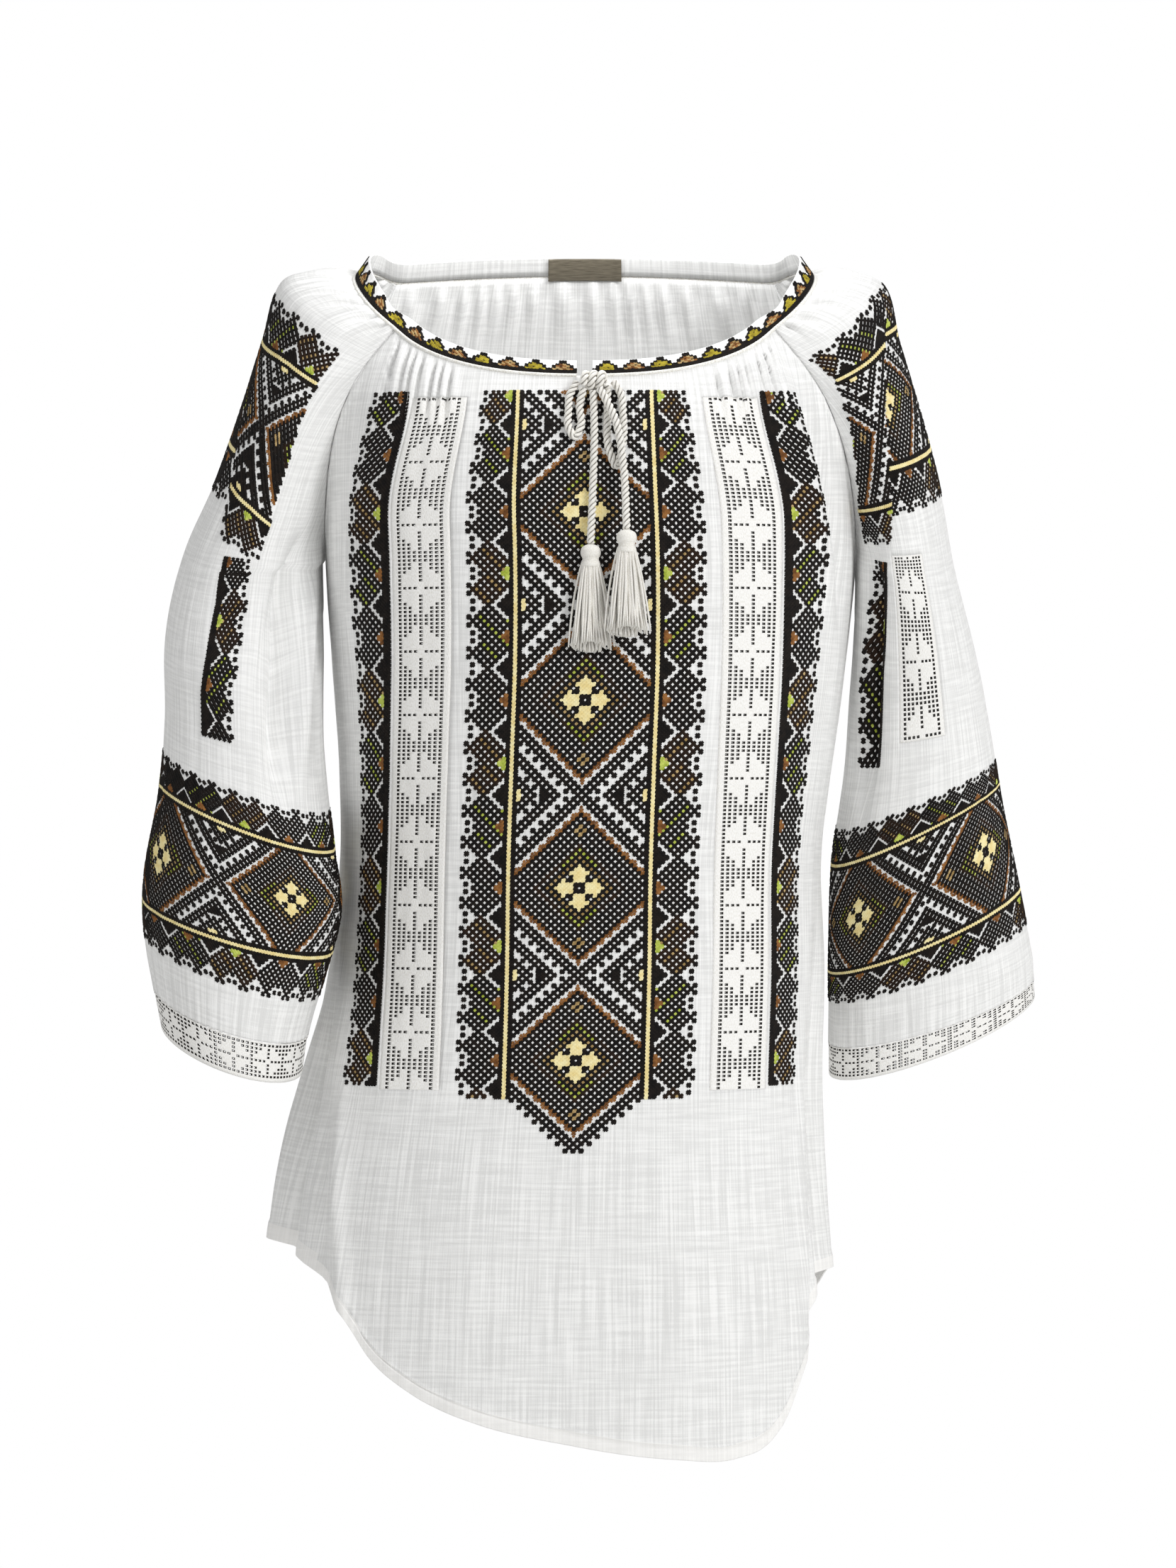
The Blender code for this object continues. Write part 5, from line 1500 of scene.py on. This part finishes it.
# Turns by distance along: the seam that parts the band, its inner end, and the short border's edge.
UPPER_SEAM = {
    -1: [(0.0, 60), (0.060, 25), (0.0875, 8), (0.166, -42), (0.220, -62)],
    1: [(0.0, 0), (0.060, -22), (0.080, -38), (0.150, -86), (0.172, -97), (0.220, -115)],
}
UPPER_END = {
    -1: [(0.0, -84), (0.096, -84), (0.152, -93), (0.240, -95)],
    1: [(0.0, -88), (0.067, -97), (0.090, -92), (0.130, -112), (0.172, -142), (0.240, -150)],
}
STRIP_EDGE = {
    -1: [(0.200, -65), (0.242, -69), (0.275, -66), (0.296, -62), (0.330, -62)],
    1: [(0.200, -113), (0.246, -122), (0.275, -127), (0.330, -127)],
}
STRIP_START = 0.2110
STRIP_ROW = 0.0024
STRIP_CELL = 0.0019
STRIP_ROWS = 46


def read_line(table, at):
    """Values of a table of places and numbers, straight between its rows."""
    rows = np.array(table, float)
    return np.interp(at, rows[:, 0], rows[:, 1])


def lower_cell(side, c, r):
    """Point of a sleeve at a corner of the lower band's cells: across is along the arm."""
    turn = LOWER_CENTRE[side] + (r - FIRST_CENTRE) * SLEEVE_STEP
    middle, slant, half = LOWER_BAND[side]
    along = middle - slant * np.cos(np.radians(turn)) + (c - 0.5) * half / SLEEVE_LINE
    return sleeve_point(side, (turn + 180) % 360 - 180, along)


def upper_place(side, part, c, r):
    """Turn and distance along of a cell of the upper band, in front of or behind its seam."""
    turn = UPPER_CENTRE[side, part] + (r - FIRST_CENTRE) * UPPER_STEP
    places, *lines = np.array(UPPER_LINES[side, part], float).T
    high, low = (np.interp(turn, places, line) for line in lines)
    return turn, (high + low) / 2 + (low - high) / 2 * (c - 0.5) / SLEEVE_LINE


def upper_cell(side, part, c, r):
    """Point of a sleeve at a corner of the upper band's cells."""
    return sleeve_point(side, *upper_place(side, part, c, r))


def strip_cell(side, k, r):
    """Point of a sleeve at a corner of the short border's cells, towards the body."""
    along = STRIP_START + r * STRIP_ROW
    turn = read_line(STRIP_EDGE[side], along) - k * STRIP_CELL / SLEEVE_ROUND
    return sleeve_point(side, turn, along)


for side, word in SIDES:
    cell_x, cell_row = np.meshgrid(COLUMN_CELLS, np.arange(ROUND_CELLS))
    lower = column_chart(cell_x, cell_row)
    name = "embroidery_sleeve_lower_" + word
    pieces = [stitches(name, partial(lower_cell, side), cell_x, cell_row, lower, side)]
    cell_x, cell_row = np.meshgrid(COLUMN_CELLS, np.arange(-40, 140))
    for part in ("front", "outer"):
        upper = column_chart(cell_x, cell_row)
        turn, along = upper_place(side, part, cell_x + 0.5, cell_row + 0.5)
        ahead = turn < read_line(UPPER_SEAM[side], along)
        kept = (ahead if part == "front" else ~ahead) & (turn > read_line(UPPER_END[side], along))
        kept = kept & (turn < spread_at(along) - 8.0)
        upper[1][~kept] = EMPTY
        name = "embroidery_sleeve_upper_" + part + "_" + word
        place = partial(upper_cell, side, part)
        pieces.append(stitches(name, place, cell_x, cell_row, upper, side))
    cell_k, cell_row = np.meshgrid(BORDER_CELLS, np.arange(STRIP_ROWS))
    strip = barred_border(cell_k, cell_row, 2)
    name = "embroidery_sleeve_strip_" + word
    pieces.append(stitches(name, partial(strip_cell, side), cell_k, cell_row, strip, side))
    for piece in pieces:
        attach(piece, "root")


# Neck band's embroidery. A broad black line in the lower seam, and a row of small triangles that
# point to the neck edge, black outside and filled by turns with mustard yellow and rust brown.
BAND_CELL = 0.0021
BAND_CELL_HEIGHT = 0.00136
TRIANGLE_PITCH = 8
LINE_ROWS = 2
TRIANGLE_ROWS = 6


def band_chart(along, height):
    """Triangles above a line: a cell's distance from the middle against its height."""
    made = chart(along.shape)
    middle = np.abs(along % TRIANGLE_PITCH - 3.5)
    half = 3.9 - 0.66 * (height - LINE_ROWS)
    inside = (height >= LINE_ROWS) & (middle <= half)
    core = inside & (middle <= half - 1.05) & (height < LINE_ROWS + TRIANGLE_ROWS - 1)
    turn = (along // TRIANGLE_PITCH) % 2
    lay(made, inside, "black", SOLID)
    lay(made, core & (turn == 0), "mustard", SOLID)
    lay(made, core & (turn == 1), "tan", SOLID)
    lay(made, core & (turn == 1) & ((along + height) % 2 == 0), "rust", SOLID)
    lay(made, core & ((along + 2 * height) % 5 == 0), "brown", SPECK)
    lay(made, height < LINE_ROWS, "black", SOLID)
    return made


def band_cell(c, r):
    """Point of the band's outer face at a corner of its cells."""
    return band_place(c * BAND_LENGTH / BAND_COLUMNS, 0.0002 + r * BAND_CELL_HEIGHT)


BAND_COLUMNS = int(BAND_LENGTH / BAND_CELL / TRIANGLE_PITCH) * TRIANGLE_PITCH
cell_along, cell_height = np.meshgrid(np.arange(BAND_COLUMNS), np.arange(LINE_ROWS + TRIANGLE_ROWS))
made = band_chart(cell_along, cell_height)
band_stitches = stitches("embroidery_neckband", band_cell, cell_along, cell_height, made, 1)
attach(band_stitches, "root")


# Drawstring. A white cotton cord of three twisted plies, 5 mm thick, tied in a small bow at the
# slit of the neck band: a knot, two short loops, and two tails that end in tassels.
CORD = 0.0050
CORD_TWIST = 0.0108  # length in which a ply goes once round
CORD_GAP = 0.0005
CORD_SIDES = 24
CORD_RINGS = 200
PLY = 0.53  # from the cord's middle to a ply's, and a ply's radius, in radii of the cord
KNOT = (0.0065, 0.0705, 0.0066)
KNOT_SIZE = (0.0105, 0.0065, 0.0063)
TAIL_RIGHT = [
    (0.0050, 0.0776, 0.0070),
    (0.0058, 0.1000, 0.0036),
    (0.0050, 0.1350, 0.0030),
    (0.0036, 0.1705, 0.0073),
]
TAIL_LEFT = [
    (0.0100, 0.0770, 0.0100),
    (0.0185, 0.0950, 0.0106),
    (0.0235, 0.1250, 0.0098),
    (0.0252, 0.1620, 0.0181),
]
LOOP_RIGHT = [
    (-0.0014, 0.0756, 0.0066),
    (-0.0030, 0.0860, 0.0036),
    (-0.0024, 0.0990, 0.0030),
    (-0.0062, 0.1050, 0.0030),
    (-0.0098, 0.0990, 0.0030),
    (-0.0098, 0.0890, 0.0034),
    (-0.0090, 0.0795, 0.0045),
    (-0.0064, 0.0712, 0.0066),
]
LOOP_LEFT = [
    (0.0152, 0.0768, 0.0040),
    (0.0138, 0.0900, 0.0031),
    (0.0148, 0.1130, 0.0030),
    (0.0190, 0.1230, 0.0030),
    (0.0226, 0.1120, 0.0030),
    (0.0232, 0.0920, 0.0031),
    (0.0220, 0.0790, 0.0045),
    (0.0192, 0.0706, 0.0066),
]


def front_of(x, down, out):
    """A place in front of the cloth, by distance across, depth, and distance out from it."""
    x, down, out = same_shape(x, down, out)
    point = body_plain(share_at(x, down), down)
    return np.stack([x, point[..., 1] - out, -down], axis=-1)


def onto_knot(point):
    """The nearest place a hair above the knot's surface, on the line to its middle."""
    centre = front_of(*KNOT)
    unit = (point - centre) / np.array([KNOT_SIZE[0], KNOT_SIZE[2], KNOT_SIZE[1]])
    surface = centre + (point - centre) / np.linalg.norm(unit)
    return surface + (point - centre) / np.linalg.norm(point - centre) * CORD_GAP


def cord_path(table, samples, tied_end=False):
    """Smooth curve through the rows of a cord's table, in front of the cloth, from the knot."""
    x, down, out = np.array(table, float).T
    rows = front_of(x, down, out)
    rows[0] = onto_knot(rows[0])
    if tied_end:
        rows[-1] = onto_knot(rows[-1])
    key = distances(rows)
    at = np.linspace(0, key[-1], samples)
    return np.stack([through(key, values, at) for values in rows.T], axis=1)


def twisted(path):
    """Radius of three round plies side by side, whose pattern turns with distance along."""
    step = path_length(path) / (len(path) - 1)

    def plies(angle, ring):
        turned = angle - ring * step * 2 * math.pi / CORD_TWIST
        from_ply = (turned + math.pi / 3) % (2 * math.pi / 3) - math.pi / 3
        half_chord = np.sqrt(PLY**2 - (PLY * np.sin(from_ply)) ** 2)
        return PLY * np.cos(from_ply) + half_chord - 0.04

    return plies


def cord_bar(name, table, tied_end=False):
    """One free stretch of the cord, and the points that it follows."""
    path = cord_path(table, CORD_RINGS, tied_end)
    radii = np.full(len(path), CORD / 2)
    radii[[0, -1]] *= 0.6
    return round_bar(name, path, radii, CORD_SIDES, twisted(path)), path


def knot_turns():
    """The knot: three turns of the cord wound side by side over the cords that it ties."""
    centre = front_of(*KNOT)
    t = np.linspace(0, 1, 260)
    angle = 2 * math.pi * 3 * t - 0.6
    wide = KNOT_SIZE[1] - CORD / 2
    deep = KNOT_SIZE[2] - CORD / 2
    return np.stack([
        centre[0] + (t - 0.5) * 2 * (KNOT_SIZE[0] - CORD * 0.62),
        centre[1] - deep * np.cos(angle),
        centre[2] + wide * np.sin(angle),
    ], axis=1)


# The third colour is painted shade in the grooves between the plies.
CORD_COTTON = plain_yarn("cord_cotton_twisted", "#FCFAF5", "#EAE6DC", "#6E695E", 1500.0)
TAILS = {"right": TAIL_RIGHT, "left": TAIL_LEFT}
LOOPS = {"right": LOOP_RIGHT, "left": LOOP_LEFT}
knot_path = knot_turns()
knot = round_bar("cord_knot_tied", knot_path, CORD / 2, CORD_SIDES, twisted(knot_path))
knot.data.materials.append(CORD_COTTON)
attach(knot, "root")
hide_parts("cord_knot")
for word, table in LOOPS.items():
    loop, path = cord_bar("cord_loop_" + word + "_twisted", table, True)
    loop.data.materials.append(CORD_COTTON)
    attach(loop, "root")
    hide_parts("cord_loop_" + word)


# Tassels. A bundle of the same cotton, bound round its head with thread, hanging in loose strands
# that spread over the front.
TASSELS = {  # where each hangs from, across, down and out, and the depth of its tip
    "right": (0.0036, 0.1708, 0.0074, 0.2380),
    "left": (0.0252, 0.1623, 0.0182, 0.2290),
}
# Profile of a head: depths below its top, and widths as shares of its radius.
HEAD_PROFILE = [
    (0.0000, 0.30),
    (0.0006, 0.55),
    (0.0016, 0.82),
    (0.0030, 0.96),
    (0.0045, 1.00),
    (0.0060, 0.99),
    (0.0072, 0.92),
    (0.0080, 0.84),
    (0.0086, 0.80),
    (0.0092, 0.80),
    (0.0098, 0.82),
    (0.0106, 0.88),
    (0.0115, 0.94),
    (0.0125, 0.97),
    (0.0135, 0.90),
]
TASSEL_HEAD = 0.0062  # radius
TASSEL_HEAD_SIDES = 56
TASSEL_HEAD_LENGTH = 0.0125
TASSEL_SPREAD = 0.0160
TASSEL_THICKNESS = 0.0042
TASSEL_BOUND = (0.0076, 0.0102)  # depths between which thread is wound round the head
STRANDS = 110
STRAND_RINGS = 12
STRAND_SIDES = 4
STRAND_RADIUS = 0.00068
GOLDEN_TURN = 2.39996  # radians from each strand to the next, which spreads them evenly


def tassel_head(name, place):
    """The bound head: a round profile with fine turns of thread, tight at its neck."""
    top = front_of(*place[:3])
    profile = np.array(HEAD_PROFILE)
    fine = np.linspace(0, profile[-1, 0], 60)
    width = np.interp(fine, *profile.T) * TASSEL_HEAD
    bound = (fine > TASSEL_BOUND[0]) & (fine < TASSEL_BOUND[1])
    turns = 1 + 0.035 * np.sin(fine * 2 * math.pi / 0.0009) * bound
    path = top + np.stack([0 * fine, 0 * fine, -fine], axis=1)

    def strands(angle, ring):
        return turns[ring] * (1 + 0.035 * np.abs(np.sin(14 * angle + 0.4 * np.sin(ring * 0.3))))

    return round_bar(name, path, width * 0.96, TASSEL_HEAD_SIDES, strands)


def tassel_skirt(name, place):
    """Loose strands: each a thin four-sided bar that leaves the head and fans out to its tip."""
    x, down, out, tip = place
    top = front_of(x, down, out)
    lean = front_of(x, tip, out)[1] - top[1]
    k = np.arange(STRANDS)
    turn = k * GOLDEN_TURN
    reach = np.sqrt((k + 0.5) / STRANDS)
    start = np.stack([reach * np.cos(turn), 0.9 * reach * np.sin(turn)], axis=1)
    start = start * TASSEL_HEAD * 0.82
    end = np.stack([
        reach * np.cos(turn) * TASSEL_SPREAD * (0.80 + 0.20 * np.sin(k * 5.1)),
        reach * np.sin(turn) * TASSEL_THICKNESS,
    ], axis=1)
    length = (tip - down - TASSEL_HEAD_LENGTH) * (0.94 + 0.06 * np.sin(k * 2.4))
    t = np.linspace(0, 1, STRAND_RINGS)
    bend = t[None] ** 0.85
    sway = 0.0011 * np.sin(k * 1.7)[:, None] * np.sin(math.pi * t)[None]
    path_x = top[0] + start[:, :1] + (end - start)[:, :1] * bend + sway
    path_y = top[1] + start[:, 1:] + (end - start)[:, 1:] * bend + lean * t[None]
    path_z = top[2] - TASSEL_HEAD_LENGTH + 0.002 - length[:, None] * t[None]
    centre = np.stack([path_x, path_y, path_z], axis=-1)
    size = STRAND_RADIUS * (1 - 0.35 * t[None] ** 6)
    corner = np.arange(STRAND_SIDES) * 2 * math.pi / STRAND_SIDES
    offset = np.stack([np.cos(corner), np.sin(corner), 0 * corner], axis=1)
    points = centre[:, :, None] + offset * size[..., None, None]
    number = numbered(STRANDS, STRAND_RINGS, STRAND_SIDES)
    beside = np.roll(number, -1, axis=2)
    corners = [number[:, :-1], number[:, 1:], beside[:, 1:], beside[:, :-1]]
    faces = np.stack(corners, axis=-1).reshape(-1, 4)
    skirt = add_mesh(name, points, np.concatenate([faces, number[:, -1, ::-1]]))
    # Strands that stand back take painted shade from the yarn's groove colour.
    height = 0.76 + 0.24 * np.abs(np.sin(k * 3.7)) ** 0.6
    give_relief(skirt.data, np.repeat(height, STRAND_RINGS * STRAND_SIDES))
    return skirt


for word, place in TASSELS.items():
    head = tassel_head("tassel_head_" + word, place)
    skirt = tassel_skirt("tassel_skirt_" + word, place)
    tail, path = cord_bar("cord_tail_" + word + "_twisted", TAILS[word])
    for piece in (head, skirt, tail):
        piece.data.materials.append(CORD_COTTON)
        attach(piece, "root")
    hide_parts("tassel_" + word)
    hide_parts("cord_tail_" + word)


# Studio. A plain pale floor well below the hem that ends behind the blouse, a white surround, and
# soft light from large panels: the brightest from the upper right.
FLOOR_DOWN = 1.05
FLOOR_BACK = 1.9
floor_points = np.array([
    [-3.0, -3.0, -FLOOR_DOWN],
    [3.0, -3.0, -FLOOR_DOWN],
    [3.0, FLOOR_BACK, -FLOOR_DOWN],
    [-3.0, FLOOR_BACK, -FLOOR_DOWN],
])
floor = add_mesh("studio_floor", floor_points, np.array([[0, 1, 2, 3]]))
floor_material, tree = new_material("floor_paper_white")
shader = node(tree, "ShaderNodeBsdfPrincipled", {"Base Color": linear("#F4F4F2"), "Roughness": 0.9})
node(tree, "ShaderNodeOutputMaterial", {"Surface": shader.outputs[0]})
floor.data.materials.append(floor_material)

SURROUND_LIGHT = 0.52  # strength as light; seen by the camera it is plain white
world = bpy.data.worlds.new("studio")
world.use_nodes = True
world.node_tree.nodes.clear()
seen = node(world.node_tree, "ShaderNodeLightPath").outputs["Is Camera Ray"]
sockets = {0: seen, 1: 1.0 - SURROUND_LIGHT, 2: SURROUND_LIGHT}
strength = node(world.node_tree, "ShaderNodeMath", sockets, operation="MULTIPLY_ADD")
background = node(world.node_tree, "ShaderNodeBackground", {
    "Color": linear("#FFFFFF"),
    "Strength": strength.outputs[0],
})
node(world.node_tree, "ShaderNodeOutputWorld", {"Surface": background.outputs[0]})
bpy.context.scene.world = world
bpy.context.scene.view_settings.view_transform = "Standard"

# Each light: its name, place, aim, size and power. The small one lights the inside of the back.
MIDDLE = (0.0, 0.0, -0.33)
LIGHTS = [
    ("key", (2.2, -2.2, 1.4), MIDDLE, 0.8, 50.0),
    ("fill", (-1.6, -2.9, 0.2), MIDDLE, 1.6, 6.0),
    ("top", (0.0, 0.3, 2.4), MIDDLE, 1.6, 5.0),
    ("back", (0.4, 2.6, 0.8), MIDDLE, 1.8, 12.0),
    ("neck", (0.0, -0.06, 0.12), (0.0, 0.11, -0.05), 0.16, 0.32),
]
for light_name, light_place, aim, size, power in LIGHTS:
    data = bpy.data.lights.new(light_name, "AREA")
    data.size = size
    data.energy = power
    lamp = bpy.data.objects.new(light_name, data)
    lamp.location = light_place
    way = np.array(aim) - np.array(light_place)
    tilt = math.atan2(math.hypot(way[0], way[1]), -way[2])
    lamp.rotation_euler = (tilt, 0.0, math.atan2(-way[0], way[1]))
    bpy.context.collection.objects.link(lamp)
